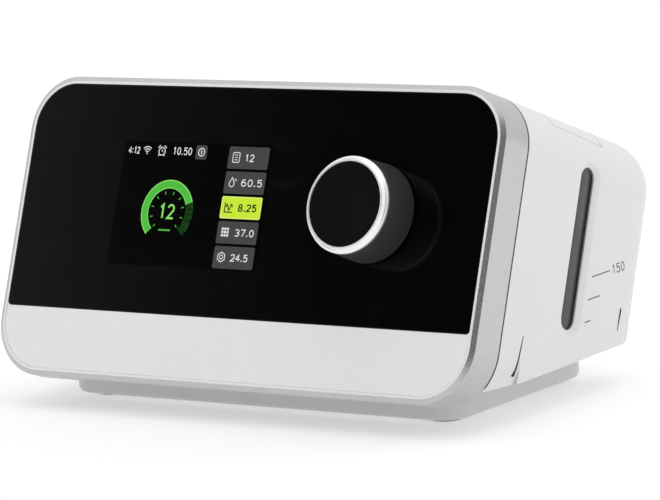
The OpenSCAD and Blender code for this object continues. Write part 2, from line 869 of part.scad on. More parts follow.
// Base: plinth tray with a flange that closes the case from below.
module base_whole() {
    difference() {
        union() {
            plinth_hull();
            intersection() {
                rotate([-lean, 0, 0]) union() {
                    case_body(shell_wall + pan_gap, bezel_d + 0.3);
                    skirt_block(shell_wall + pan_gap);
                }
                block([-half_w, 0, shell_floor], [half_w, heel_y - 1, pan_top]);
            }
        }
        translate([0, 0, base_wall]) linear_extrude(big) plinth_outline(base_wall);
        for (s = [-1, 1], y = [screw_front, screw_back]) {
            translate([s * screw_x, y, shell_floor - 1]) cylinder(r = screw_r + 0.2, h = 2 * base_wall + 2);
        }
        feet(foot_r + 0.05);
    }
}

// Four round feet, sunk into the plinth's underside.
module feet(r) {
    for (s = [-1, 1], y = [plinth_front + foot_inset, plinth_back - foot_inset]) {
        translate([s * (plinth_hw - foot_inset), y, -foot_h]) cylinder(r = r, h = foot_h + foot_sunk);
    }
}

module base_left() {
    color("silver") table_frame() intersection() {
        base_whole();
        block([-half_w, 0, -1], [split_x - 0.05, big, big]);
    }
}

module base_right() {
    color("silver") table_frame() intersection() {
        base_whole();
        block([split_x + 0.05, 0, -1], [half_w, big, big]);
    }
}

module rubber_feet() {
    color("dimgray") table_frame() feet(foot_r);
}

module case_screws() {
    head_h = 2;
    color("silver") table_frame() {
        for (s = [-1, 1], y = [screw_front, screw_back]) {
            translate([s * screw_x, y, shell_floor - head_h]) difference() {
                union() {
                    cylinder(r = screw_head_r, h = head_h);
                    cylinder(r = screw_r, h = head_h + screw_len);
                }
                translate([0, 0, -eps]) cylinder(r = 1.2, h = 1.2, $fn = 6);
            }
        }
    }
}

// Open tub that the tank stands in; its floor frames the heater, its right wall has a slot.
module tank_bay() {
    color("lightgray") lean_frame() difference() {
        intersection() {
            bay_block(bay_wall, 0);
            rotate([lean, 0, 0]) block([-half_w, -big / 2, pan_top], [half_w, big, big]);
        }
        intersection() {
            bay_block(0, 1);
            rotate([lean, 0, 0]) block([-half_w, -big / 2, pan_top + bay_wall], [half_w, big, big]);
        }
        rotate([lean, 0, 0]) heater_well(heater_rim + 0.3, 0, big);
        side_track(window_r + 1, tank_hw, bay_hw + 1);
        rod_y(duct_x, duct_z, duct_r + seal_lip + 0.8, tank_back_y, bay_back_y + 1);
        rod_y(outlet_x, outlet_z, outlet_bore_r + seal_lip + 0.8, tank_back_y, bay_back_y + 1);
    }
}

module bay_block(w, extra) {
    g = tank_gap + w;
    block([-tank_hw - g, tank_front_y - g, -big / 4], [tank_hw + g, tank_back_y + g, bay_top + extra]);
}

// Block round the heater plate, wider by g on each side.
module heater_well(g, z0, z1) {
    block([-heater_hw - g, heater_y0 - g, z0], [heater_hw + g, heater_y1 + g, z1]);
}

// Insulating frame under the heater plate; it stands on the base's floor.
module heater_tray() {
    color("gray") table_frame() difference() {
        heater_well(heater_rim, base_wall, heater_low + 1);
        heater_well(0.1, heater_low, big);
        for (i = [0 : 3]) {
            x0 = -heater_hw + i * heater_hw / 2;
            block([x0 + 2, heater_y0 + 2, base_wall - 1], [x0 + heater_hw / 2 - 2, heater_y1 - 2, big]);
        }
    }
}

heater_rim = 1.4;
heater_hw = plinth_hw - base_wall - 12;
heater_y0 = lean_y_to_table(tank_front_y, tank_low) + 2.2;
heater_y1 = lean_y_to_table(tank_back_y, tank_low) - 7;

module heater_plate() {
    color("silver") table_frame() heater_well(0, heater_low, heater_top);
}

// The tank's leaning block, with its walls moved in by w.
module tank_block(w) {
    block([-tank_hw + w, tank_front_y + w, -big / 4], [tank_hw - w, tank_back_y - w, tank_top - w]);
}

// Tank body: leaning walls with a level floor edge, roof, neck and hinge ears.
module tank_body() {
    color("lightsteelblue", 0.5) lean_frame() difference() {
        union() {
            intersection() {
                tank_block(0);
                rotate([lean, 0, 0]) block([-half_w, 0, tank_low], [half_w, big, big]);
            }
            block([-neck_hw, neck_front_y, tank_top - eps], [neck_hw, neck_back_y, neck_top]);
            hinge_ears();
        }
        intersection() {
            tank_block(tank_wall);
            rotate([lean, 0, 0]) block([-half_w, 0, tank_low + tank_plate_t], [half_w, big, big]);
        }
        plate_seat(0.1);
        block([-neck_hw + tank_wall, neck_front_y + tank_wall, tank_top - 2 * tank_wall],
              [neck_hw - tank_wall, neck_back_y - tank_wall, neck_top + 1]);
        rod_y(duct_x, duct_z, duct_r, tank_back_y - 2 * tank_wall, tank_back_y + 1);
        rod_y(outlet_x, outlet_z, outlet_bore_r, tank_back_y - 2 * tank_wall, tank_back_y + 1);
        hinge_rods(hinge_pin_r + 0.01, hinge_len);
    }
}

// The opening in the tank's floor that the metal plate closes.
module plate_seat(g) {
    rotate([lean, 0, 0]) block([-plate_hw - g, plate_y0 - g, tank_low - 1],
                               [plate_hw + g, plate_y1 + g, tank_low + tank_plate_t + eps]);
}

plate_hw = tank_hw - 4;
plate_y0 = lean_y_to_table(tank_front_y, tank_low) + 3;
plate_y1 = lean_y_to_table(tank_back_y, tank_low) - 3;

module tank_base_plate() {
    color("silver") table_frame()
        block([-plate_hw, plate_y0, tank_low], [plate_hw, plate_y1, tank_low + tank_plate_t]);
}

// Two ears behind the neck, with the hinge knuckle on top.
module hinge_ears() {
    for (s = [-1, 1]) {
        x0 = s * hinge_x - knuckle_w / 2;
        translate([x0, hinge_y, hinge_z]) rotate([0, 90, 0]) cylinder(r = hinge_r - 0.4, h = knuckle_w);
        block([x0, neck_back_y - eps, tank_top - eps], [x0 + knuckle_w, hinge_y, hinge_z - 1]);
        block([x0, hinge_y - 1.2, tank_top - eps], [x0 + knuckle_w, hinge_y + 1.2, hinge_z]);
    }
}

module hinge_rods(r, len) {
    for (s = [-1, 1]) {
        translate([s * hinge_x - len / 2, hinge_y, hinge_z]) rotate([0, 90, 0]) cylinder(r = r, h = len);
    }
}

module lid_hinge_pins() {
    color("silver") lean_frame() hinge_rods(hinge_pin_r, hinge_len);
}

// Lid profile across its width: the front edge leans in below, the rear edge is round.
module lid_profile(low) {
    y0 = lid_front + lid_gap;
    translate([-lid_hw, 0, 0]) rotate([90, 0, 90]) linear_extrude(2 * lid_hw) union() {
        polygon([[y0, face_top + 1], [y0, face_top - lid_t], [y0 + 1.2, low],
                 [hinge_y, low], [hinge_y, face_top + 1]]);
        translate([y0, low]) square([hinge_y + hinge_r - y0, hinge_z - low]);
        translate([hinge_y, hinge_z]) circle(hinge_r);
    }
}

// Lid: a strip of the case's own surface, with room for the tank's knuckles.
module humidifier_lid() {
    color("whitesmoke") lean_frame() difference() {
        intersection() {
            union() {
                difference() {
                    case_body(0, shell_y);
                    case_body(lid_t, shell_y - 1);
                }
                lid_barrel();
            }
            lid_profile(tank_top + 0.6);
        }
        for (s = [-1, 1]) {
            x0 = s * hinge_x - knuckle_w / 2 - knuckle_gap;
            block([x0, neck_back_y - 0.5, tank_top],
                  [x0 + knuckle_w + 2 * knuckle_gap, lid_back + 1, face_top + 1]);
        }
        hinge_rods(hinge_pin_r + 0.05, hinge_len + 0.6);
        scoop(0);
    }
}

// Finger scoop in the lid's front edge.
module scoop(g) {
    translate([0, scoop_front, scoop_z]) rotate([0, 90, 0])
        cylinder(r = scoop_r + g, h = scoop_len + 2 * g, center = true, $fn = 96);
}

// Round bead along the lid's rear edge that the pins run in.
module lid_barrel() {
    translate([-neck_hw, hinge_y, hinge_z]) rotate([0, 90, 0]) cylinder(r = hinge_r, h = 2 * neck_hw);
}

// Clear liner under the lid: a plate and a plug that drops into the tank's neck.
module lid_liner() {
    plate_back = hinge_y - hinge_r - 0.4;
    color("gainsboro") lean_frame() difference() {
        union() {
            block([-neck_hw, neck_front_y, liner_low], [neck_hw, plate_back, liner_top]);
            block([-plug_hw, plug_front_y, liner_low - seal_t - plug_drop],
                  [plug_hw, plug_back_y, liner_low + eps]);
        }
        block([-plug_hw + plug_wall, plug_front_y + plug_wall, liner_low - seal_t - plug_drop - 1],
              [plug_hw - plug_wall, plug_back_y - plug_wall, liner_low + 0.6]);
        for (s = [-1, 1]) {
            x0 = s * hinge_x - knuckle_w / 2 - knuckle_gap;
            block([x0, neck_back_y - 0.5, liner_low - 1],
                  [x0 + knuckle_w + 2 * knuckle_gap, plate_back + 1, face_top]);
        }
        // the scoop in the lid leaves the liner whole below it
        scoop(0.3);
    }
}

module lid_seal() {
    color("gray") lean_frame() difference() {
        block([-neck_hw + 0.2, neck_front_y + 0.2, neck_top + seal_gap],
              [neck_hw - 0.2, neck_back_y - 0.2, liner_low]);
        block([-plug_hw - 0.1, plug_front_y - 0.1, neck_top],
              [plug_hw + 0.1, plug_back_y + 0.1, liner_low + 1]);
    }
}

// Scroll outline: the radius grows evenly over one turn and opens into the throat.
function scroll_point(a, w) = (scroll_r - scroll_grow + scroll_grow * a / 360 + w) * [sin(a), cos(a)];

module scroll_outline(w) {
    start = 90;
    steps = 48;
    translate([blower_x, blower_z]) union() {
        polygon([for (i = [0 : steps]) scroll_point(start + i * (360 - start) / steps, w)]);
        circle(scroll_r - scroll_grow * 0.75 + w - 0.6);
    }
    translate([blower_x - eps, throat_top - scroll_wall - throat_w - w])
        square([throat_x - blower_x, throat_w + 2 * w]);
}

module blower_shell(y0, y1, cap0, cap1) {
    difference() {
        along_y(y0, y1) scroll_outline(scroll_wall);
        along_y(y0 + cap0, y1 - cap1) union() {
            scroll_outline(0);
            translate([throat_x - 1, throat_low + scroll_wall]) square([3, throat_w]);
        }
    }
}

// Front half of the scroll, with the motor's cup.
module blower_front() {
    color("dimgray") lean_frame() difference() {
        union() {
            blower_shell(blower_y, blower_split, scroll_wall, -1);
            rod_y(blower_x, blower_z, motor_r + 1.6, blower_y, motor_back);
        }
        rod_y(blower_x, blower_z, motor_r + 0.02, blower_y - 1, motor_back - 1.2);
        rod_y(blower_x, blower_z, 3.2, blower_y - 1, motor_back + 1);
    }
}

// Rear half of the scroll, with the inlet eye and its rounded lip.
module blower_rear() {
    color("dimgray") lean_frame() difference() {
        union() {
            blower_shell(blower_split, blower_back, -1, scroll_wall);
            translate([blower_x, blower_back, blower_z]) rotate([90, 0, 0]) rotate_extrude()
                translate([eye_r + 1.2, 0.8]) circle(1.4);
        }
        rod_y(blower_x, blower_z, eye_r, blower_split - 1, blower_back + 3);
    }
}

module blower_motor() {
    color("silver") lean_frame() difference() {
        rod_y(blower_x, blower_z, motor_r, blower_y - 1.4, motor_back - 1.2);
        rod_y(blower_x, blower_z, motor_shaft_r + 0.05, blower_y - 0.2, motor_back);
        for (a = [0 : 60 : 300]) {
            rod_y(blower_x + motor_hole_ring * sin(a), blower_z + motor_hole_ring * cos(a),
                  1.2, blower_y - 2, blower_y);
        }
    }
}

// One backward-curved blade: the piece of a thin ring between hub and rim.
module blade() {
    arc_r = impeller_r * 0.62;
    intersection() {
        translate([arc_r, 0]) difference() {
            circle(arc_r);
            circle(arc_r - 0.9);
        }
        square(impeller_r);
    }
}

// Impeller: back disc, curved blades, front ring and hub on the motor's shaft.
module impeller() {
    color("white") lean_frame() translate([blower_x, fan_back, blower_z]) rotate([90, 0, 0]) {
        span = fan_back - fan_front;
        difference() {
            union() {
                translate([0, 0, span - 1.2]) cylinder(r = impeller_r, h = 1.2);
                linear_extrude(span - 1) intersection() {
                    union() {
                        for (i = [0 : blade_count - 1]) rotate(i * 360 / blade_count) blade();
                    }
                    difference() {
                        circle(impeller_r);
                        circle(eye_r - 3);
                    }
                }
                difference() {
                    cylinder(r = impeller_r, h = 1);
                    translate([0, 0, -1]) cylinder(r = eye_r, h = 3);
                }
                translate([0, 0, 2]) cylinder(r1 = 2.8, r2 = 6, h = span - 2);
            }
        }
        translate([0, 0, 2]) cylinder(r = motor_shaft_r, h = span + (fan_front - blower_y) - 2);
    }
}

// Rubber mounts between the scroll and the case's rear wall.
module blower_mounts() {
    color("dimgray") lean_frame() {
        for (a = [90, 210, 330]) {
            mx = blower_x + mount_ring_r * cos(a);
            mz = blower_z + mount_ring_r * sin(a);
            difference() {
                rod_y(mx, mz, 3.5, blower_back, rear_in);
                rod_y(mx, mz, 1.2, blower_back - 1, rear_in + 1);
            }
        }
    }
}

// Duct from the scroll's throat to the tank bay.
module air_duct() {
    x0 = throat_x;
    x1 = duct_x + duct_r + 3.5;
    w = scroll_wall;
    color("gray") lean_frame() difference() {
        union() {
            block([x0, blower_y, throat_low], [x1, blower_back, throat_top]);
            rod_y(duct_x, duct_z, duct_r + seal_lip - 0.2, bay_back_y + 0.4, blower_y + eps);
        }
        block([x0 - 1, blower_y + w, throat_low + w], [x1 - w, blower_back - w, throat_top - w]);
        rod_y(duct_x, duct_z, duct_r, tank_back_y, blower_y + 2 * w);
    }
}

// Soft collar between a duct and the tank, seated in the bay's rear wall.
module collar(x, z, r) {
    difference() {
        union() {
            rod_y(x, z, r + seal_lip + 0.7, tank_back_y + 0.3, bay_back_y + 2.4);
            rod_y(x, z, r + seal_lip + 2.2, bay_back_y + 0.02, bay_back_y + 1.4);
        }
        rod_y(x, z, r, tank_back_y, bay_back_y + 3);
        rod_y(x, z, r + seal_lip - 0.1, bay_back_y + 0.3, bay_back_y + 3);
    }
}

module duct_seal() {
    color("dimgray") lean_frame() collar(duct_x, duct_z, duct_r);
}

module outlet_seal() {
    color("dimgray") lean_frame() collar(outlet_x, outlet_z, outlet_bore_r);
}

// Air outlet: tube from the tank bay through the rear wall, with a seat flange.
module outlet_port() {
    spigot_r = outlet_bore_r + seal_lip - 0.2;
    flange_t = 0.7;
    color("gainsboro") lean_frame() translate([outlet_x, 0, outlet_z]) rotate([-90, 0, 0])
        rotate_extrude() polygon([
            [outlet_bore_r, bay_back_y + 0.4], [spigot_r, bay_back_y + 0.4],
            [spigot_r, bay_back_y + 6], [outlet_r, bay_back_y + 8],
            [outlet_r, body_d - flange_t], [outlet_flange_r, body_d - flange_t],
            [outlet_flange_r, body_d + flange_t], [outlet_flange_r - 0.6, body_d + flange_t + 0.6],
            [outlet_r, body_d + flange_t + 0.6], [outlet_r, outlet_end - outlet_edge],
            [outlet_r - outlet_edge, outlet_end], [outlet_bore_r, outlet_end]]);
}

// Foam filter between the cover and the case's frame.
module inlet_filter() {
    g = 0.15;
    color("slategray") lean_frame() {
        block([filter_frame_x - 1 - foam_t, filter_y - filter_w / 2 + g, filter_z - filter_h / 2 + g],
              [filter_frame_x - 1, filter_y + filter_w / 2 - g, filter_z + filter_h / 2 - g]);
    }
}

// Pull-off cover with a row of slots.
module filter_cover() {
    slots = 9;
    g = 0.3;
    edge = 1.4 - g;
    tab_w = 8;
    tab_t = 1.4;
    slot_h = 1.8;
    pitch = (filter_h - 2) / slots;
    color("whitesmoke") lean_frame() difference() {
        union() {
            block([filter_face, filter_y - filter_w / 2 - edge, filter_z - filter_h / 2 - edge],
                  [cover_in - 0.25, filter_y + filter_w / 2 + edge, filter_z + filter_h / 2 + edge]);
            for (s = [-1, 1]) {
                tab_z = filter_z + s * (filter_h / 2 - 1);
                block([cover_in - 0.3, filter_y - tab_w / 2, tab_z - tab_t / 2],
                      [cover_in + 1, filter_y + tab_w / 2, tab_z + tab_t / 2]);
            }
        }
        for (i = [0 : slots - 1]) {
            z = filter_z - filter_h / 2 + 1 + (i + 0.5) * pitch;
            block([-half_w, filter_y - filter_w / 2 + filter_rim, z - slot_h / 2],
                  [cover_in + 2, filter_y + filter_w / 2 - filter_rim, z + slot_h / 2]);
        }
    }
}

// Power inlet: a block on its board with a round nose through the rear wall.
module power_inlet() {
    color("black") lean_frame() difference() {
        union() {
            block([jack_x - jack_w / 2, jack_back, jack_z - jack_h / 2],
                  [jack_x + jack_w / 2, rear_in, jack_z + jack_h / 2]);
            rod_y(jack_x, jack_z, jack_nose_r, rear_in - eps, body_d + 0.2);
        }
        rod_y(jack_x, jack_z, jack_r, body_d - jack_depth, body_d + 1);
    }
}

module power_board() {
    face = jack_back - board_t;
    // each component: place from the socket's centre, width, height and depth
    components = [[-17, -10, 9, 10, 5], [-4, -12, 10, 10, 8], [8, 2, 7, 9, 4]];
    color("darkgreen") lean_frame() {
        block([jack_x - power_w / 2, face, jack_z - power_h / 2],
              [jack_x + power_w / 2, jack_back, jack_z + power_h / 2]);
        for (c = components) {
            block([jack_x + c[0], face - c[4], jack_z + c[1]],
                  [jack_x + c[0] + c[2], face + eps, jack_z + c[1] + c[3]]);
        }
    }
}

base_left();
base_right();
rubber_feet();
case_screws();
main_shell();
rear_cover();
front_bezel();
lower_fascia();
front_glass();
front_carrier();
display_module();
control_board();
encoder_body();
encoder_plunger();
encoder_shaft();
knob_sleeve();
knob_ring();
knob_cap();
start_key();
start_switch();
key_board();
window_lens();
tank_bay();
heater_tray();
heater_plate();
tank_body();
tank_base_plate();
humidifier_lid();
lid_liner();
lid_seal();
lid_hinge_pins();
blower_front();
blower_rear();
blower_motor();
impeller();
blower_mounts();
air_duct();
duct_seal();
outlet_port();
outlet_seal();
inlet_filter();
filter_cover();
power_inlet();
power_board();
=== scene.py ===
"""Looks of a bedside breathing machine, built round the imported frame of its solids.

New pieces are drawn in millimetres in the case's leaning frame: x runs across, depth runs back from the
face at right angles to it, and rise runs up the face. Lean.place turns them into the shared frame's metres.
"""
import json
import logging
import math
from dataclasses import dataclass, field
from enum import Enum
from typing import Callable, Optional, Sequence, Union

import bmesh
import bpy
import numpy as np
from mathutils import Matrix, Vector
from mathutils.bvhtree import BVHTree


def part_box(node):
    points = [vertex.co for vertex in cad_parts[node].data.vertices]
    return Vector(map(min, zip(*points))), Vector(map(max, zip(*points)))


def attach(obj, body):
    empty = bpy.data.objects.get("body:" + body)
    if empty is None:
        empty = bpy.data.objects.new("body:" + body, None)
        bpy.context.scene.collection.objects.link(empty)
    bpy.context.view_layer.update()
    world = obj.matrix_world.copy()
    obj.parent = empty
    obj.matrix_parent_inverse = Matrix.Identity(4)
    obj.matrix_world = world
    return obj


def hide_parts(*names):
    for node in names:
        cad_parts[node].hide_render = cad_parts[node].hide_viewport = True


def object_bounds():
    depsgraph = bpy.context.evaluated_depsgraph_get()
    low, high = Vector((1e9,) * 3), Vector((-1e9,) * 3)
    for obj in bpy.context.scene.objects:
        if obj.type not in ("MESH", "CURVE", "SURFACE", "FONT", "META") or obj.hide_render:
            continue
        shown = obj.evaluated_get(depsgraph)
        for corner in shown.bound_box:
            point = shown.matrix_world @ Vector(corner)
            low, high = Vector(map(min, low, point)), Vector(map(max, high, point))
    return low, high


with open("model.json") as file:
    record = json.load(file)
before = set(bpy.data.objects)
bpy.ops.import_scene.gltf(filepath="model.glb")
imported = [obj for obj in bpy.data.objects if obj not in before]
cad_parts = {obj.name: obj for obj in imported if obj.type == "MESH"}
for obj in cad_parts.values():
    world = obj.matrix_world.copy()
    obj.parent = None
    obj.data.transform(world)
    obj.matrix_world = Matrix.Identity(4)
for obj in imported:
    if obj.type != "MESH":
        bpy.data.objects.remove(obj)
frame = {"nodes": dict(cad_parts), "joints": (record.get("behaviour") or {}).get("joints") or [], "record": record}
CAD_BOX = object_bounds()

log = logging.getLogger("breathing_machine")
MM = 0.001
Array = np.ndarray
Outline = Callable[[float], Array]


# ---------------------------------------------------------------- places


@dataclass(frozen=True)
class Lean:
    """The case's leaning frame: its lean, and where its origin lies in the shared frame, in millimetres."""

    sin: float
    cos: float
    back: float
    up: float

    @classmethod
    def from_frame(cls) -> "Lean":
        """Reads the lean from the knob's axis and the origin from the glass and the plinth.

        Returns:
            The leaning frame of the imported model.
        """
        axis = next(j["axis"] for j in frame["joints"] if j["name"] == "knob_turn")
        cos, sin = -axis[1], axis[2]
        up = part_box("base_left")[0].z / MM
        points = node_points("front_glass")
        front = (points[:, 1] * cos - (points[:, 2] - up) * sin).min()
        return cls(sin, cos, front / cos, up)

    def place(self, points: Array) -> Array:
        """Turns leaning points (x, depth, rise) in millimetres into metres of the shared frame.

        Args:
            points: Array of leaning points, one a row.

        Returns:
            y = back + rise * sin + depth * cos and z = up + rise * cos - depth * sin, in metres.
        """
        x, depth, rise = np.moveaxis(np.asarray(points, float), -1, 0)
        y = self.back + rise * self.sin + depth * self.cos
        z = self.up + rise * self.cos - depth * self.sin
        return np.stack([x, y, z], -1) * MM

    def local(self, points: Array) -> Array:
        """Turns points of the shared frame, in millimetres, into leaning points: the inverse of place."""
        x, y, z = np.moveaxis(points, -1, 0)
        y, z = y - self.back, z - self.up
        return np.stack([x, y * self.cos - z * self.sin, y * self.sin + z * self.cos], -1)

    def box(self, node: str) -> tuple[Array, Array]:
        """Lowest and highest leaning corner of a CAD node, in millimetres."""
        points = self.local(node_points(node))
        return points.min(0), points.max(0)


def node_points(node: str) -> Array:
    """All points of a CAD node in the shared frame, in millimetres."""
    mesh = frame["nodes"][node].data
    flat = np.empty(len(mesh.vertices) * 3)
    mesh.vertices.foreach_get("co", flat)
    return flat.reshape(-1, 3) / MM


# ---------------------------------------------------------------- surfaces


def grid_faces(rows: int, cols: int, closed_rows: bool = False, closed_cols: bool = True) -> Array:
    """Quads between neighbours of a grid whose point (i, j) has the index i * cols + j.

    Args:
        rows: Number of rows.
        cols: Number of columns.
        closed_rows: Whether the last row joins the first.
        closed_cols: Whether the last column joins the first.

    Returns:
        Array of four indices a face.
    """
    i = np.arange(rows if closed_rows else rows - 1)[:, None]
    j = np.arange(cols if closed_cols else cols - 1)[None, :]
    i1, j1 = (i + 1) % rows, (j + 1) % cols
    return np.stack([i * cols + j, i * cols + j1, i1 * cols + j1, i1 * cols + j], -1).reshape(-1, 4)


def arc(centre: Sequence[float], radii: Sequence[float], start: float, end: float, steps: int = 12) -> Array:
    """Points of an elliptic arc: centre + (rx * cos a, ry * sin a), with a from start to end in degrees."""
    a = np.radians(np.linspace(start, end, steps))
    return np.stack([centre[0] + radii[0] * np.cos(a), centre[1] + radii[1] * np.sin(a)], -1)


def corner_outline(low: Sequence[float], high: Sequence[float], radii: Sequence[float],
                   steps: int = 14) -> Outline:
    """Outline of a rectangle with round corners, as a function of how far it is drawn in.

    Each corner is a quarter circle whose centre stays put while the outline shrinks.

    Args:
        low: Lower left corner.
        high: Upper right corner.
        radii: Corner radii, anticlockwise from the lower left one.
        steps: Points on each corner.

    Returns:
        Function from an inset to the closed outline's points, anticlockwise.
    """
    def outline(inset: float) -> Array:
        """Points of the outline drawn in by inset."""
        turns = [(low[0], low[1], 1, 1, 180), (high[0], low[1], -1, 1, 270),
                 (high[0], high[1], -1, -1, 0), (low[0], high[1], 1, -1, 90)]
        corners = []
        for (x, z, sx, sz, start), radius in zip(turns, radii):
            left = max(radius - inset, 0.02)
            reach = left + inset
            corners.append(arc((x + sx * reach, z + sz * reach), (left, left), start, start + 90, steps))
        return np.concatenate(corners)
    return outline


def ring_outline(centre: Sequence[float], radius: float, steps: int = 96) -> Outline:
    """Outline of a circle as a function of how far it is drawn in."""
    def outline(inset: float) -> Array:
        """Points of the circle drawn in by inset."""
        return arc(centre, (radius - inset,) * 2, 0, 360, steps + 1)[:-1]
    return outline


def rounded(profile: Sequence[Sequence[float]], radius: float, steps: int = 4, closed: bool = False) -> Array:
    """Rounds each corner of a profile with the curve (1-t)^2 A + 2t(1-t) B + t^2 C round its corner B.

    A and C lie on the two sides, at most radius and 0.45 of the side's length away from the corner.

    Args:
        profile: Corner points.
        radius: Distance from a corner at which its rounding starts.
        steps: Points in each rounding.
        closed: Whether the profile joins its own start.

    Returns:
        The rounded profile's points.
    """
    points = np.asarray(profile, float)
    sides = [np.roll(points, way, 0) - points for way in (1, -1)]
    lengths = [np.linalg.norm(side, axis=1, keepdims=True) for side in sides]
    a, c = (points + side * np.minimum(radius, 0.45 * length) / np.maximum(length, 1e-9)
            for side, length in zip(sides, lengths))
    t = np.linspace(0, 1, steps)[None, :, None]
    curve = (1 - t) ** 2 * a[:, None] + 2 * t * (1 - t) * points[:, None] + t ** 2 * c[:, None]
    if closed:
        return curve.reshape(-1, 2)
    return np.concatenate([points[:1], curve[1:-1].reshape(-1, 2), points[-1:]])


Faces = list[Union[Array, list[list[int]]]]
Shape = tuple[Array, Faces]


def tube_faces(rings: int, count: int, closed: bool = False, ends: int = 2) -> Faces:
    """Faces of a tube of rings whose points are listed ring after ring.

    Args:
        rings: Number of rings.
        count: Points on each ring.
        closed: Whether the last ring joins the first, so that the tube has no ends.
        ends: How many ends of an open tube get a flat face: 1 for the first ring only.

    Returns:
        The faces.
    """
    capped = [] if closed else [0, rings - 1][:ends]
    caps = [[list(range(ring * count, (ring + 1) * count))] for ring in capped]
    return [grid_faces(rings, count, closed_rows=closed), *caps]


def slab(outline: Outline, section: Sequence[Sequence[float]], hole: Optional[Outline] = None) -> Shape:
    """A plate in the face's plane: the outline carried along a section of (inset, depth) pairs.

    Without a hole the first and last ring are closed with one flat face each. With a hole, each ring point
    is joined to the hole's point at the same angle, so the plate is one closed band.

    Args:
        outline: The plate's outline as a function of its inset.
        section: Inset and depth of each ring, from the back to the front.
        hole: The hole's outline, with as many points as the plate's.

    Returns:
        Leaning points (x, depth, rise) and faces.
    """
    rings = [np.insert(outline(inset), 1, depth, axis=1) for inset, depth in section]
    if hole is not None:
        for depth in (section[-1][1], section[0][1]):
            rings.append(np.insert(hole(0.0), 1, depth, axis=1))
    return np.concatenate(rings), tube_faces(len(rings), len(rings[0]), hole is not None)


def lathe(profile: Array, steps: int = 128, closed: bool = False) -> Shape:
    """Surface of revolution: the point (r, h) of the profile at angle a is (r cos a, r sin a, h).

    Args:
        profile: Radius and height of each profile point.
        steps: Points round the axis.
        closed: Whether the profile is a loop, as on a ring.

    Returns:
        Points round the z axis, and faces.
    """
    a = np.linspace(0, 2 * np.pi, steps, endpoint=False)[None, :]
    r, h = profile[:, :1], profile[:, 1:]
    points = np.stack([r * np.cos(a), r * np.sin(a), h + 0 * a], -1).reshape(-1, 3)
    return points, [grid_faces(len(profile), steps, closed_rows=closed)]


def ribbon(path: Array, width: float, low: float, high: float, closed: bool = False) -> Shape:
    """A raised line: a rectangle, width across and low to high in depth, carried along a flat path.

    The two edges are path + n * width / 2 and path - n * width / 2, where n is the mitred normal
    (n1 + n2) / (1 + n1 . n2) of the two stretches that meet at a point.

    Args:
        path: Points in the plane, one a row.
        width: Width of the line.
        low: Depth of its back.
        high: Depth of its front.
        closed: Whether the path is a loop.

    Returns:
        Leaning points (x, depth, rise) and faces.
    """
    run = np.roll(path, -1, 0) - path
    if not closed:
        run[-1] = run[-2]
    normal = np.stack([-run[:, 1], run[:, 0]], -1) / np.maximum(np.linalg.norm(run, axis=1), 1e-9)[:, None]
    before = np.roll(normal, 1, 0)
    if not closed:
        before[0] = normal[0]
    mitre = (normal + before) / np.maximum(1 + (normal * before).sum(1), 0.25)[:, None] * width / 2
    edges = [(path + mitre, low), (path + mitre, high), (path - mitre, high), (path - mitre, low)]
    grid = np.stack([np.insert(p, 1, depth, axis=1) for p, depth in edges], 1)
    return grid.reshape(-1, 3), tube_faces(len(path), 4, closed)


def merge_shapes(shapes: Sequence[Shape]) -> Shape:
    """Puts several shapes into one list of points and faces."""
    points, faces, start = [], [], 0
    for shape_points, shape_faces in shapes:
        points.append(shape_points)
        faces += [np.asarray(group) + start for group in shape_faces]
        start += len(shape_points)
    return np.concatenate(points), faces


# ---------------------------------------------------------------- pieces


DRAWN_MERGE = 1e-7  # metres within which a drawn mesh's points are one
COPY_MERGE = 2e-6  # the same for a copied solid
COPY_SHARP = 32.0  # degrees above which a copied solid's edge stays sharp
BEVEL_ANGLE = 40.0  # degrees above which it is rounded
FLAT_WEIGHT = 80  # how far large faces outweigh small ones in the shading
SEAM_SLACK = 0.01  # millimetres off the seam's depth that still count as on it


def shade(mesh: bpy.types.Mesh, sharp: float) -> None:
    """Shades a mesh smooth, apart from edges above the sharp angle in degrees."""
    mesh.polygons.foreach_set("use_smooth", np.ones(len(mesh.polygons), bool))
    mesh.set_sharp_from_angle(angle=math.radians(sharp))


def finish_mesh(mesh: bpy.types.Mesh, sharp: float) -> None:
    """Merges a drawn mesh's doubles, turns its faces outwards and shades it.

    Args:
        mesh: The mesh to finish.
        sharp: Angle in degrees above which an edge stays sharp.
    """
    work = bmesh.new()
    work.from_mesh(mesh)
    bmesh.ops.remove_doubles(work, verts=work.verts, dist=DRAWN_MERGE)
    bmesh.ops.recalc_face_normals(work, faces=work.faces)
    work.to_mesh(mesh)
    work.free()
    shade(mesh, sharp)


def link_piece(name: str, mesh: bpy.types.Mesh, body: str, finish: "Finish",
               replaced: Sequence[str] = ()) -> bpy.types.Object:
    """Makes a mesh a piece of the object: on a body, with a finish and the nodes it stands for.

    Args:
        name: The piece's name.
        mesh: Its mesh, in the shared frame.
        body: The CAD body that it rides on.
        finish: Its finish.
        replaced: CAD nodes that it stands for.

    Returns:
        The new object.
    """
    piece = bpy.data.objects.new(name, mesh)
    bpy.context.scene.collection.objects.link(piece)
    mesh.materials.clear()
    mesh.materials.append(finish.material())
    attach(piece, body)
    if replaced:
        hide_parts(*replaced)
    log.info("%s: %d faces on %s, %s", name, len(mesh.polygons), body, finish.slot)
    return piece


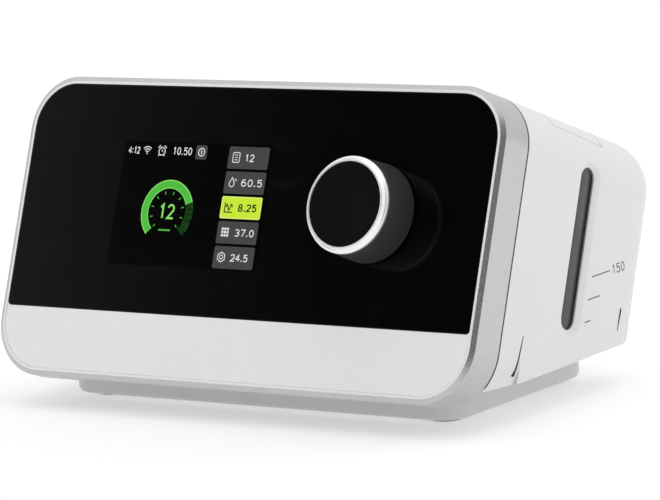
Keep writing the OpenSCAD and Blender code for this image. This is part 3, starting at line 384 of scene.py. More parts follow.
def soften(piece: bpy.types.Object, width: float) -> None:
    """Rounds a piece's sharp edges and keeps its flat faces flat in the shading.

    Args:
        piece: The piece.
        width: Width of the rounding in millimetres, or 0 for none.
    """
    if width:
        bevel = piece.modifiers.new("edge_rounding", "BEVEL")
        bevel.width, bevel.segments = width * MM, 2
        bevel.limit_method, bevel.angle_limit = "ANGLE", math.radians(BEVEL_ANGLE)
        bevel.use_clamp_overlap, bevel.harden_normals = True, True
        bevel.miter_outer = "MITER_ARC"
    weighted = piece.modifiers.new("flat_faces", "WEIGHTED_NORMAL")
    weighted.keep_sharp, weighted.weight = True, FLAT_WEIGHT


def drop_inner_seam(work: bmesh.types.BMesh, lean: Lean, depth: float) -> None:
    """Deletes the faces in which two joined solids touch, which all lie at one depth.

    Args:
        work: The joined solids.
        lean: The leaning frame.
        depth: Depth of the touching faces, in millimetres.
    """
    work.faces.ensure_lookup_table()
    corners = np.array([v.co for f in work.faces for v in f.verts]).reshape(-1, 3, 3) / MM
    inner = np.abs(lean.local(corners)[..., 1] - depth).max(1) < SEAM_SLACK
    bmesh.ops.delete(work, geom=[work.faces[i] for i in np.flatnonzero(inner)], context="FACES")


def dressed_copy(name: str, nodes: Sequence[str], body: str, finish: "Finish", edge: float = 0.25,
                 seam: Optional[tuple[Lean, float]] = None) -> None:
    """Makes a piece from the solids of CAD nodes, merged, with its edges rounded.

    Args:
        name: The piece's name.
        nodes: The CAD nodes, which the piece stands for.
        body: The CAD body that it rides on.
        finish: Its finish.
        edge: Width of the edges' rounding in millimetres, or 0 for none.
        seam: Leaning frame and depth of faces between the nodes that are left out.
    """
    work = bmesh.new()
    for node in nodes:
        work.from_mesh(frame["nodes"][node].data)
    if seam:
        drop_inner_seam(work, *seam)
    bmesh.ops.remove_doubles(work, verts=work.verts, dist=COPY_MERGE)
    mesh = bpy.data.meshes.new(name)
    work.to_mesh(mesh)
    work.free()
    shade(mesh, COPY_SHARP)
    soften(link_piece(name, mesh, body, finish, nodes), edge)


# ---------------------------------------------------------------- materials


Number = Union["Value", float, int]


class Value:
    """A socket of a shader graph, which Python's operators join with Math nodes."""

    def __init__(self, graph: "Graph", socket: bpy.types.NodeSocket) -> None:
        """Keeps the graph and the output socket."""
        self.graph, self.socket = graph, socket

    def _math(self, operation: str, *inputs: Number) -> "Value":
        """Adds one Math node on the given inputs."""
        return self.graph.node("ShaderNodeMath", {"operation": operation}, dict(enumerate(inputs)))

    def __add__(self, other: Number) -> "Value":
        """Sum."""
        return self._math("ADD", self, other)

    __radd__ = __add__

    def __sub__(self, other: Number) -> "Value":
        """Difference."""
        return self._math("SUBTRACT", self, other)

    def __rsub__(self, other: Number) -> "Value":
        """Difference from a number."""
        return self._math("SUBTRACT", other, self)

    def __mul__(self, other: Number) -> "Value":
        """Product."""
        return self._math("MULTIPLY", self, other)

    __rmul__ = __mul__

    def __truediv__(self, other: Number) -> "Value":
        """Quotient."""
        return self._math("DIVIDE", self, other)

    def root(self) -> "Value":
        """Square root."""
        return self._math("SQRT", self)

    def wave(self) -> "Value":
        """Sine."""
        return self._math("SINE", self)

    def between(self, low: float, high: float) -> "Value":
        """0 up to low, 1 from high, and a smooth step between them."""
        settings = {"interpolation_type": "SMOOTHSTEP"}
        return self.graph.node("ShaderNodeMapRange", settings, {0: self, 1: low, 2: high})


class Graph:
    """A shader graph under construction."""

    def __init__(self, tree: bpy.types.NodeTree) -> None:
        """Empties the tree."""
        self.tree = tree
        tree.nodes.clear()

    def node(self, kind: str, settings: Optional[dict] = None, inputs: Optional[dict] = None,
             output: Union[int, str] = 0) -> Value:
        """Adds a node: its settings first, then its sockets.

        Args:
            kind: The node's type.
            settings: Attributes; a ramp's stops are (place, colour) pairs under "stops".
            inputs: Values or links by socket name or number.
            output: Name or number of the output that is handed on.

        Returns:
            The chosen output.
        """
        made = self.tree.nodes.new(kind)
        for key, value in (settings or {}).items():
            if key == "stops":
                self._stops(made.color_ramp, value)
            else:
                setattr(made, key, value)
        for key, value in (inputs or {}).items():
            if isinstance(value, Value):
                self.tree.links.new(value.socket, made.inputs[key])
            else:
                made.inputs[key].default_value = value
        return Value(self, made.outputs[output]) if len(made.outputs) else Value(self, None)

    @staticmethod
    def _stops(ramp: bpy.types.ColorRamp, stops: Sequence[tuple[float, Sequence[float]]]) -> None:
        """Sets a ramp's stops."""
        while len(ramp.elements) < len(stops):
            ramp.elements.new(1.0)
        for element, (place, colour) in zip(ramp.elements, stops):
            element.position, element.color = place, (*colour, 1.0)

    def blend(self, factor: Number, first: Union[Value, Sequence[float]],
              second: Union[Value, Sequence[float]]) -> Value:
        """Mixes two colours.

        Args:
            factor: Share of the second colour.
            first: Colour at 0.
            second: Colour at 1.

        Returns:
            The mixed colour.
        """
        colours = {6: first, 7: second}
        filled = {k: c if isinstance(c, Value) else (*c, 1.0) for k, c in colours.items()}
        return self.node("ShaderNodeMix", {"data_type": "RGBA"}, {0: factor, **filled}, 2)

    def place(self, shift: Sequence[float] = (0, 0, 0), turn: Sequence[float] = (0, 0, 0),
              stretch: Sequence[float] = (1, 1, 1)) -> Value:
        """Object coordinates seen from a shifted, turned frame, then stretched.

        Args:
            shift: The frame's origin in metres.
            turn: Its turn in radians about each axis.
            stretch: Factor along each of its axes.

        Returns:
            The coordinates.
        """
        where = self.node("ShaderNodeTexCoord", output="Object")
        settings = {"vector_type": "TEXTURE"}
        seen = self.node("ShaderNodeMapping", settings, {0: where, 1: shift, 2: turn})
        return self.node("ShaderNodeVectorMath", {"operation": "MULTIPLY"}, {0: seen, 1: stretch})

    def parts(self, vector: Value) -> tuple[Value, Value, Value]:
        """The three numbers of a vector."""
        split = self.node("ShaderNodeSeparateXYZ", inputs={0: vector})
        outputs = split.socket.node.outputs
        return split, Value(self, outputs[1]), Value(self, outputs[2])

    def noise(self, where: Value, size: float, detail: float = 2.0) -> Value:
        """Cloudy noise with lumps of about size millimetres."""
        inputs = {"Vector": where, "Scale": 1 / (size * MM), "Detail": detail}
        return self.node("ShaderNodeTexNoise", inputs=inputs)

    def cells(self, where: Value, size: float, output: Union[int, str] = "Color") -> Value:
        """Random cells of about size millimetres."""
        inputs = {"Vector": where, "Scale": 1 / (size * MM)}
        return self.node("ShaderNodeTexVoronoi", inputs=inputs, output=output)

    def bump(self, height: Value, depth: float) -> Value:
        """Normal of a surface raised by height times depth millimetres."""
        return self.node("ShaderNodeBump", inputs={"Strength": 1.0, "Distance": depth * MM, "Height": height})


class Relief(Enum):
    """What a finish shows from close by."""

    MOULDED = "fine moulded grain"
    SPARKLE = "metal flakes in lacquer"
    BRUSHED = "brush marks across"
    TURNED = "turning marks round the knob's axis"
    GLOSS = "smooth, with faint wipe marks"
    FOAM = "open pores"
    BOARD = "copper tracks under lacquer"
    RUBBER = "dull, dusty rubber"
    WATERLINE = "clear moulding with flow marks"
    PIXELS = "lit picture dots"
    # the lighter front is painted light, standing in for the lit tank wall behind the pane
    SMOKED = "clear pane over a dark tank, lighter in front"


Skin = tuple[Value, Value, Value]  # colour, what is added to the roughness, and height
CLOUD_SIZE = 38.0  # millimetres from one slow change of tone to the next


@dataclass(frozen=True)
class Finish:
    """A surface finish: the record's slot it belongs to, its colour and its fine detail."""

    slot: str
    colour: tuple[float, float, float]
    relief: Relief
    roughness: float = 0.4
    metallic: float = 0.0
    grain: float = 0.5
    bump: float = 0.01
    tone: float = 0.04
    specular: float = 0.5
    alpha: float = 1.0
    glow: float = 0.0
    name: str = ""

    def material(self) -> bpy.types.Material:
        """The finish's material, which is made once.

        Returns:
            The material.
        """
        label = f"{self.name or self.slot}_finish"
        ready = bpy.data.materials.get(label)
        if ready:
            return ready
        material = bpy.data.materials.new(label)
        material.use_nodes = True
        graph = Graph(material.node_tree)
        uniform = {"Metallic": self.metallic, "Specular IOR Level": self.specular, "Alpha": self.alpha,
                   "Emission Strength": self.glow}
        surface = graph.node("ShaderNodeBsdfPrincipled", inputs={**uniform, **self._detail(graph)})
        graph.node("ShaderNodeOutputMaterial", inputs={"Surface": surface})
        return material

    def _shade(self, graph: Graph, amount: Number) -> Value:
        """The finish's colour, darker by tone where amount is 0 and lighter by tone where it is 1."""
        dark = tuple(c * (1 - self.tone) for c in self.colour)
        light = tuple(min(c * (1 + self.tone), 1.0) for c in self.colour)
        return graph.blend(amount, dark, light)

    def _detail(self, graph: Graph) -> dict[str, Value]:
        """Varying colour, roughness and normal of the finish's relief, from the method of its name.

        Args:
            graph: The material's graph.

        Returns:
            Links for the shader's sockets.
        """
        where = graph.place()
        cloud = graph.noise(where, CLOUD_SIZE, 3.0)
        if self.relief is Relief.PIXELS:
            return self._pixels(graph, where, cloud)
        colour, rough, height = getattr(self, f"_{self.relief.name.lower()}")(graph, where, cloud)
        return {"Base Color": colour, "Roughness": self.roughness + rough,
                "Normal": graph.bump(height, self.bump)}

    def _moulded(self, graph: Graph, where: Value, cloud: Value) -> Skin:
        """Fine spark-eroded grain, with a slow drift of tone and a little polish where hands go."""
        grain = graph.noise(where, self.grain, 4.0)
        polish = cloud.between(0.5, 0.72)
        return (self._shade(graph, cloud * 0.8 + grain * 0.2),
                (grain - 0.5) * 0.12 - polish * 0.05, grain)

    def _sparkle(self, graph: Graph, where: Value, cloud: Value) -> Skin:
        """Flakes of slightly different brightness and tilt under a thin lacquer."""
        flake = graph.parts(graph.cells(where, self.grain))[0]
        grain = graph.noise(where, self.grain * 1.7, 3.0)
        return (self._shade(graph, flake * 0.65 + cloud * 0.35),
                (flake - 0.5) * 0.16, grain + flake * 0.35)

    def _brushed(self, graph: Graph, where: Value, cloud: Value) -> Skin:
        """Long fine scratches along x: noise that is stretched thirty times."""
        lines = graph.noise(graph.place(stretch=(0.03, 1, 1)), self.grain, 4.0)
        return self._shade(graph, lines * 0.6 + cloud * 0.4), (lines - 0.5) * 0.2, lines

    def _turned(self, graph: Graph, where: Value, cloud: Value) -> Skin:
        """Rings round the knob's axis: noise of the distance from the axis and the height on it."""
        shift, turn = Knob.axis_frame()
        x, y, height = graph.parts(graph.place(shift, turn))
        radius = (x * x + y * y).root()
        along = graph.node("ShaderNodeCombineXYZ", inputs={0: radius, 1: height})
        rings = graph.noise(along, self.grain, 3.0)
        return self._shade(graph, rings * 0.5 + cloud * 0.5), (rings - 0.5) * 0.14, rings

    def _gloss(self, graph: Graph, where: Value, cloud: Value) -> Skin:
        """A polished face with faint wipe marks in its roughness and a very slight ripple."""
        wipe = graph.noise(graph.place(stretch=(0.35, 1, 1)), 9.0, 5.0).between(0.52, 0.8)
        ripple = graph.noise(where, 14.0, 1.0)
        return self._shade(graph, cloud), wipe * 0.045, ripple

    def _foam(self, graph: Graph, where: Value, cloud: Value) -> Skin:
        """Open pores: dark hollows at the cells' centres."""
        pore = graph.cells(where, self.grain, "Distance")
        open_pore = 1 - pore.between(0.1, 0.55)
        return self._shade(graph, 1 - open_pore), open_pore * 0.08, pore

    def _board(self, graph: Graph, where: Value, cloud: Value) -> Skin:
        """Lacquered board: copper tracks lie where a fine block pattern passes a threshold."""
        x, _, z = graph.parts(where)
        pitch = 2 * math.pi / (self.grain * MM)
        bands = ((x * pitch).wave() + (z * pitch * 0.6).wave()) * 0.25 + 0.5
        block = graph.parts(graph.cells(where, self.grain * 2.6))[0]
        track = (bands + (block - 0.5) * 0.7).between(0.52, 0.6)
        lighter = tuple(min(c * 2.1 + 0.03, 1.0) for c in self.colour)
        return graph.blend(track * 0.7, self.colour, lighter), track * 0.1 + (cloud - 0.5) * 0.1, track

    def _rubber(self, graph: Graph, where: Value, cloud: Value) -> Skin:
        """Dull rubber with a lighter dust that gathers in lumps."""
        grain = graph.noise(where, self.grain, 5.0)
        dust = (cloud * 0.6 + grain * 0.4).between(0.45, 0.75)
        dusty = tuple(min(c * 1.6 + 0.01, 1.0) for c in self.colour)
        return graph.blend(dust * 0.5, self.colour, dusty), dust * 0.1, grain

    def _waterline(self, graph: Graph, where: Value, cloud: Value) -> Skin:
        """Clear moulding whose roughness carries faint flow marks."""
        flow = graph.noise(graph.place(stretch=(0.3, 1, 2.2)), 11.0, 4.0)
        return self._shade(graph, cloud), flow.between(0.45, 0.8) * 0.08, flow

    def _smoked(self, graph: Graph, where: Value, cloud: Value) -> Skin:
        """Smoked pane: a painted lighter band in front stands for the lit tank wall, and the dark tint behind it
        also for the tank's shade.

        The depth is that of the leaning frame, (y - back) * cos - (z - up) * sin, as a share of the pane.
        """
        lean = Lean.from_frame()
        low, high = lean.box("window_lens")
        _, y, z = graph.parts(where)
        depth = (y / MM - lean.back) * lean.cos - (z / MM - lean.up) * lean.sin
        share = (depth - low[1]) / (high[1] - low[1])
        # painted light: the band in front where the lit tank wall would show through the pane
        light = share.between(0.16, 0.26) * (1 - share.between(0.5, 0.72))
        painted_lit_wall = tuple(c + 0.11 for c in self.colour)
        flow = graph.noise(graph.place(stretch=(0.3, 1, 0.4)), 6.0, 3.0)
        return graph.blend(light * (0.7 + flow * 0.5), self.colour, painted_lit_wall), cloud * 0.05, flow

    def _pixels(self, graph: Graph, where: Value, cloud: Value) -> dict[str, Value]:
        """Lit picture dots: the glow dips a little between the rows and columns of dots."""
        x, _, z = graph.parts(where)
        pitch = 2 * math.pi / (self.grain * MM)
        dots = ((x * pitch).wave() + (z * pitch).wave()) * 0.03 + 0.94
        lit = graph.blend(dots * (0.96 + cloud * 0.08), (0.0, 0.0, 0.0), self.colour)
        return {"Base Color": graph.blend(cloud * 0.3, (0.004,) * 3, (0.008,) * 3),
                "Roughness": self.roughness + (cloud - 0.5) * 0.04,
                "Emission Color": lit}


CASE_WHITE = Finish("case_white", (0.715, 0.712, 0.702), Relief.MOULDED, roughness=0.42, grain=0.45,
                    bump=0.012, tone=0.015)
BEZEL_SILVER = Finish("bezel_silver", (0.52, 0.523, 0.528), Relief.SPARKLE, roughness=0.27, metallic=0.85,
                      grain=0.16, bump=0.003, tone=0.04)
# painted highlight: a near-white copy of the band's silver, for the bright line along its lip
LIP_PAINTED_HIGHLIGHT = Finish("bezel_silver", (0.93, 0.93, 0.93), Relief.BRUSHED, roughness=0.25, metallic=0.15,
                      grain=0.2, bump=0.002, tone=0.02, name="painted_highlight_lip")
FASCIA_SILVER = Finish("fascia_silver", (0.92, 0.922, 0.93), Relief.SPARKLE, roughness=0.38, metallic=0.3,
                       grain=0.22, bump=0.005, tone=0.05)
PANEL_BLACK = Finish("panel_black", (0.0012, 0.0012, 0.0014), Relief.GLOSS, roughness=0.11, bump=0.0008,
                     specular=0.24)
SCREEN_BLACK = Finish("screen", (0.0005, 0.0005, 0.0006), Relief.GLOSS, roughness=0.16, bump=0.0008,
                      specular=0.08, name="screen_black")
KNOB_GREY = Finish("knob_grey", (0.035, 0.035, 0.036), Relief.TURNED, roughness=0.36, grain=0.35, bump=0.004)
RING_CHROME = Finish("ring_chrome", (0.95, 0.95, 0.95), Relief.TURNED, roughness=0.26, metallic=0.55,
                     grain=0.12, bump=0.002)
CAP_BLACK = Finish("cap_black", (0.002, 0.002, 0.0022), Relief.TURNED, roughness=0.24, grain=0.3, bump=0.002,
                   specular=0.14)
# smoked pane whose finish paints a lighter band in front: painted light of the tank wall behind it
SMOKED_LENS = Finish("smoked_lens", (0.004, 0.0041, 0.0042), Relief.SMOKED, roughness=0.35, bump=0.001,
                     specular=0.12, alpha=0.97)
PLINTH_PLASTIC = Finish("plinth_plastic", (0.63, 0.63, 0.625), Relief.MOULDED, roughness=0.45, grain=0.5,
                        bump=0.012)
SOFT_RUBBER = Finish("soft_rubber", (0.05, 0.05, 0.052), Relief.RUBBER, roughness=0.75, grain=0.6, bump=0.02)
# painted shadow: near black, for the slivers that stand in for shade on the side wall
PAINTED_SHADOW_SLIVER = Finish("inner_plastic", (0.02, 0.02, 0.02), Relief.RUBBER, roughness=0.8, grain=0.6, bump=0.01,
                   name="painted_shadow_sliver")
SCREW_STEEL = Finish("screw_steel", (0.5, 0.49, 0.47), Relief.BRUSHED, roughness=0.35, metallic=1.0,
                     grain=0.2, bump=0.004)
INNER_PLASTIC = Finish("inner_plastic", (0.09, 0.09, 0.092), Relief.MOULDED, roughness=0.5, grain=0.6,
                       bump=0.015)
SCREEN_MODULE = Finish("screen", (0.05, 0.055, 0.06), Relief.BRUSHED, roughness=0.4, metallic=0.6,
                       name="screen_back")
CIRCUIT_BOARD = Finish("circuit_board", (0.01, 0.085, 0.035), Relief.BOARD, roughness=0.32, grain=1.6,
                       bump=0.03)
BRIGHT_METAL = Finish("bright_metal", (0.72, 0.72, 0.70), Relief.BRUSHED, roughness=0.28, metallic=1.0,
                      grain=0.15, bump=0.004)
BAY_GREY = Finish("bay_grey", (0.36, 0.37, 0.38), Relief.MOULDED, roughness=0.48, grain=0.6, bump=0.015)
HEATER_METAL = Finish("heater_metal", (0.66, 0.64, 0.60), Relief.BRUSHED, roughness=0.3, metallic=1.0,
                      grain=0.2, bump=0.005)
TANK_CLEAR = Finish("tank_clear", (0.66, 0.70, 0.73), Relief.WATERLINE, roughness=0.08, bump=0.003,
                    alpha=0.34)
LINER_CLEAR = Finish("liner_clear", (0.80, 0.83, 0.85), Relief.WATERLINE, roughness=0.16, bump=0.004,
                     alpha=0.72)
BLOWER_GREY = Finish("blower_grey", (0.13, 0.135, 0.14), Relief.MOULDED, roughness=0.5, grain=0.7, bump=0.02)
IMPELLER_WHITE = Finish("impeller_white", (0.72, 0.72, 0.70), Relief.MOULDED, roughness=0.42, grain=0.5,
                        bump=0.012)
FILTER_FOAM = Finish("filter_foam", (0.10, 0.105, 0.11), Relief.FOAM, roughness=0.85, grain=0.9, bump=0.25,
                     tone=0.5)
OUTLET_PLASTIC = Finish("case_white", (0.62, 0.625, 0.63), Relief.MOULDED, roughness=0.35, grain=0.5,
                        bump=0.01, name="outlet_plastic")
LEVEL_INK = Finish("knob_grey", (0.10, 0.10, 0.105), Relief.RUBBER, roughness=0.55, grain=0.3, bump=0.004,
                   name="level_ink")


def lit(name: str, colour: tuple[float, float, float], glow: float = 1.0) -> Finish:
    """Finish of lit picture dots."""
    return Finish("screen", colour, Relief.PIXELS, roughness=0.3, grain=0.13, glow=glow, name=name)


GLOW_WHITE = lit("glow_white", (0.88, 0.89, 0.90), 0.9)
GLOW_TILE = lit("glow_tile", (0.036, 0.036, 0.037))
GLOW_LIME = lit("glow_lime", (0.60, 0.86, 0.012), 0.95)
GLOW_GREEN = lit("glow_green", (0.055, 0.50, 0.028))
GLOW_PALE_GREEN = lit("glow_pale_green", (0.23, 0.78, 0.12))
GLOW_DARK_GREEN = lit("glow_dark_green", (0.006, 0.07, 0.006))
GLOW_PALE_LIME = lit("glow_pale_lime", (0.78, 0.93, 0.30), 0.95)
INK_DARK = lit("ink_dark", (0.008, 0.012, 0.001))

PLAIN_FINISHES = (CASE_WHITE, BEZEL_SILVER, FASCIA_SILVER, PANEL_BLACK, KNOB_GREY, RING_CHROME, CAP_BLACK,
                  SMOKED_LENS, PLINTH_PLASTIC, SOFT_RUBBER, SCREW_STEEL, INNER_PLASTIC, SCREEN_MODULE,
                  CIRCUIT_BOARD, BRIGHT_METAL, BAY_GREY, HEATER_METAL, TANK_CLEAR, LINER_CLEAR, BLOWER_GREY,
                  IMPELLER_WHITE, FILTER_FOAM)


# ---------------------------------------------------------------- digits


class Digits:
    """Plain numbers drawn with strokes in a box 0.6 wide and 1 high, centred on the origin."""

    STROKES: dict[str, list[Array]] = {
        "0": [arc((0, 0), (0.24, 0.45), 90, 450, 33)],
        "1": [np.array([(-0.13, 0.27), (0.05, 0.45), (0.05, -0.45)])],
        "2": [np.concatenate([arc((0, 0.2), (0.24, 0.25), 165, -35, 14), [(-0.24, -0.45), (0.26, -0.45)]])],
        "3": [np.concatenate([arc((-0.02, 0.22), (0.23, 0.23), 150, -80, 12),
                              arc((-0.02, -0.21), (0.26, 0.24), 80, -150, 14)])],
        "4": [np.array([(0.1, -0.45), (0.1, 0.45), (-0.26, -0.16), (0.28, -0.16)])],
        "5": [np.concatenate([[(0.22, 0.45), (-0.18, 0.45), (-0.2, 0.07)],
                              arc((-0.01, -0.15), (0.25, 0.3), 125, -150, 16)])],
        "6": [np.concatenate([arc((0.06, 0.0), (0.3, 0.45), 70, 180, 10),
                              arc((0.0, -0.17), (0.24, 0.28), 180, 520, 24)])],
        "7": [np.array([(-0.25, 0.45), (0.25, 0.45), (-0.08, -0.45)])],
        "8": [arc((0, 0.22), (0.2, 0.23), -90, 270, 24), arc((0, -0.22), (0.25, 0.23), 90, 450, 24)],
        "9": [np.concatenate([arc((-0.06, 0.0), (0.3, 0.45), -110, 0, 10),
                              arc((0.0, 0.17), (0.24, 0.28), 0, 340, 24)])],
        ".": [np.array([(-0.1, -0.39), (0.08, -0.39)])],
        ":": [np.array([(-0.09, 0.16), (0.09, 0.16)]), np.array([(-0.09, -0.32), (0.09, -0.32)])],
    }
    ADVANCE = {".": 0.36, ":": 0.4}

    @classmethod
    def paths(cls, text: str, left: float, middle: float, height: float, width: float = 0.0) -> list[Array]:
        """Strokes of a number.

        Args:
            text: The number.
            left: Left edge.
            middle: Middle of its height.
            height: Height of a digit.
            width: Width of the whole number, or 0 for its natural width.

        Returns:
            Paths in the plane.
        """
        advance = [cls.ADVANCE.get(c, 0.74) for c in text]
        squeeze = width / (sum(advance) * height) if width else 1.0
        starts = np.concatenate([[0.0], np.cumsum(advance)[:-1]])
        return [np.stack([left + (start + step / 2 + stroke[:, 0]) * height * squeeze,
                          middle + stroke[:, 1] * height], -1)
                for c, start, step in zip(text, starts, advance) for stroke in cls.STROKES[c]]


# ---------------------------------------------------------------- sub-assemblies


@dataclass
class Assembly:
    """A sub-assembly that is drawn in the case's leaning frame."""

    lean: Lean

    def box(self, node: str) -> tuple[Array, Array]:
        """Lowest and highest leaning corner of a CAD node, in millimetres."""
        return self.lean.box(node)

    def turned(self, node: str, profile: Array, steps: int, closed: bool = False, way: int = 1) -> Shape:
        """Turns a profile round the axis that runs through a node's middle along the depth.

        Args:
            node: The CAD node.
            profile: Radius of each profile point, and its depth times way.
            steps: Points round the axis.
            closed: Whether the profile is a loop.
            way: -1 where the profile's heights count forwards from the face.

        Returns:
            Leaning points (x, depth, rise) and faces.
        """
        low, high = self.box(node)
        x, _, rise = (low + high) / 2
        points, faces = lathe(profile, steps, closed)
        return np.stack([x + points[:, 0], way * points[:, 2], rise + points[:, 1]], -1), faces

    def piece(self, name: str, shape: Shape, finish: Finish, replaced: Sequence[str] = (),
              body: str = "case", sharp: float = 35.0) -> None:
        """Makes a piece from a leaning shape.

        Args:
            name: The piece's name.
            shape: Its points, and its groups of faces, each group with one number of corners.
            finish: Its finish.
            replaced: CAD nodes that it stands for.
            body: The CAD body that it rides on.
            sharp: Angle in degrees above which an edge stays sharp.
        """
        points, groups = shape
        mesh = bpy.data.meshes.new(name)
        faces = [list(face) for group in groups for face in np.asarray(group).tolist()]
        mesh.from_pydata(self.lean.place(points).tolist(), [], faces)
        finish_mesh(mesh, sharp)
        link_piece(name, mesh, body, finish, replaced)


@dataclass
class Case(Assembly):
    """White case with its rear cover, the tank's lid, the start key and the filter's cover."""

    edge: float = 0.3
    key_radius: float = 7.5
    key_flange: float = 1.5
    key_stem: float = 2.5
    key_bevel: float = 1.2
    flange_under: float = 5.9
    flange_over: float = 3.8
    dish: float = 0.6
    mark_thick: float = 0.05
    mark_width: float = 0.42
    mark_heights: tuple[float, ...] = (41.9, 34.05, 26.2)
    mark_starts: tuple[float, ...] = (91.0, 87.3, 84.2)
    mark_ends: tuple[float, ...] = (103.5, 95.6, 88.3)
    number_start: float = 104.6
    number_height: float = 3.6
    number_width: float = 9.4
    taper: float = 1.5
    sunk: float = 0.4
    slit_thick: float = 0.1
    slit_rows: int = 28
    front_slit: tuple[tuple[float, float, float], ...] = ((29.5, 43.6, 0.2), (29.0, 40.0, 0.5),
                                                          (28.5, 36.7, 0.65), (27.9, 32.6, 0.85),
                                                          (27.3, 30.0, 1.2), (26.4, 28.2, 1.9))
    rear_slit: tuple[tuple[float, float, float], ...] = ((91.9, 65.0, 0.4), (91.7, 63.9, 0.9),
                                                         (91.6, 61.0, 0.75), (91.6, 58.5, 0.45),
                                                         (91.8, 56.2, 0.15))

    def build(self) -> None:
        """Makes the white pieces, the level marks and the painted shadow slivers on the side panel."""
        seam = self.box("main_shell")[1][1]
        dressed_copy("white_case", ["main_shell", "rear_cover"], "case", CASE_WHITE, 0.0, (self.lean, seam))
        self.slit("front_slit", self.front_slit)
        self.slit("rear_slit", self.rear_slit)
        dressed_copy("tank_lid", ["humidifier_lid"], "lid", CASE_WHITE, self.edge)
        dressed_copy("filter_grille", ["filter_cover"], "filter_cover", CASE_WHITE, 0.2)
        self.start_key()
        self.level_marks()

    def slit(self, name: str, stations: Sequence[tuple[float, float, float]]) -> None:
        """Painted shadow: a dark sliver laid on the right side wall where rays from the right meet the case,
        beside the ends of its skirt.

        Args:
            name: The piece's name.
            stations: Depth, rise and width at some places along it.
        """
        meshes = [frame["nodes"][node].data for node in ("main_shell", "rear_cover")]
        shell = [BVHTree.FromPolygons([v.co for v in mesh.vertices], [f.vertices for f in mesh.polygons])
                 for mesh in meshes]
        known = np.array(stations)
        along = np.linspace(0, len(stations) - 1, self.slit_rows)
        fine = np.stack([np.interp(along, np.arange(len(stations)), column) for column in known.T], -1)
        rows = []
        for depth, rise, width in fine:
            for back, share in ((depth, 0), (depth, 1), (depth + width, 1), (depth + width, 0)):
                start = Vector(self.lean.place([150.0, back, rise]))
                hits = [tree.ray_cast(start, Vector((-1.0, 0.0, 0.0)))[0] for tree in shell]
                wall = max(hit.x for hit in hits if hit) / MM
                rows.append([wall + self.proud(share) * self.slit_thick, back, rise])
        self.piece(name, (np.array(rows), tube_faces(self.slit_rows, 4)), PAINTED_SHADOW_SLIVER)

    def proud(self, share: Union[float, Array]) -> Union[float, Array]:
        """How far the share 0 to 1 of a mark lies out of the wall, in thicknesses: from -sunk to 1."""
        return share * (1 + self.sunk) - self.sunk

    def start_key(self) -> None:
        """Key cap: a profile turned round the key's axis, with a dished top of depth dish * (1 - (r/R)^2)."""
        low, high = self.box("start_key")
        x, depth, _ = (low + high) / 2
        foot, top = low[2], high[2]
        flange, crown = self.key_radius + self.key_flange, self.key_radius - self.key_bevel
        under, over = top - self.flange_under, top - self.flange_over
        side = [(0.0, foot), (self.key_stem, foot), (self.key_stem, under), (flange, under), (flange, over),
                (self.key_radius, over), (self.key_radius, top - 0.1), (crown, top)]
        r = np.linspace(crown, 0.0, 12)
        dish = np.stack([r, top - self.dish * (1 - (r / crown) ** 2)], -1)
        points, faces = lathe(np.concatenate([rounded(side, 0.45, 5), dish[1:]]), 96)
        self.piece("key_cap", (points + (x, depth, 0.0), faces), CASE_WHITE, ["start_key"], "start_key")

    def level_marks(self) -> None:
        """Marks beside the water window: flat lines that lie level on the tapered right side wall."""
        paths = [np.array([(start, height), (end, height)]) for start, end, height
                 in zip(self.mark_starts, self.mark_ends, self.mark_heights)]
        paths += Digits.paths("150", self.number_start, self.mark_heights[0], self.number_height,
                              self.number_width)
        points, faces = merge_shapes([ribbon(path, self.mark_width, 0.0, 1.0) for path in paths])
        self.piece("level_marks", (self.on_side(points), faces), LEVEL_INK)

    def on_side(self, points: Array) -> Array:
        """Lays marks on the right side wall.

        The wall's half width falls by tan(taper) for each millimetre of depth behind the band, and the
        middle coordinate, 0 to 1, is the height above the wall as a share of the mark's thickness.

        Args:
            points: Back, share and height of each point, in the frame of the table.

        Returns:
            Leaning points (x, depth, rise).
        """
        back, share, height = np.moveaxis(points, -1, 0)
        depth = back * self.lean.cos - height * self.lean.sin
        rise = back * self.lean.sin + height * self.lean.cos
        _, band = self.box("front_bezel")
        wall = band[0] - (depth - band[1]) * math.tan(math.radians(self.taper))
        return np.stack([wall + self.proud(share) * self.mark_thick, depth, rise], -1)


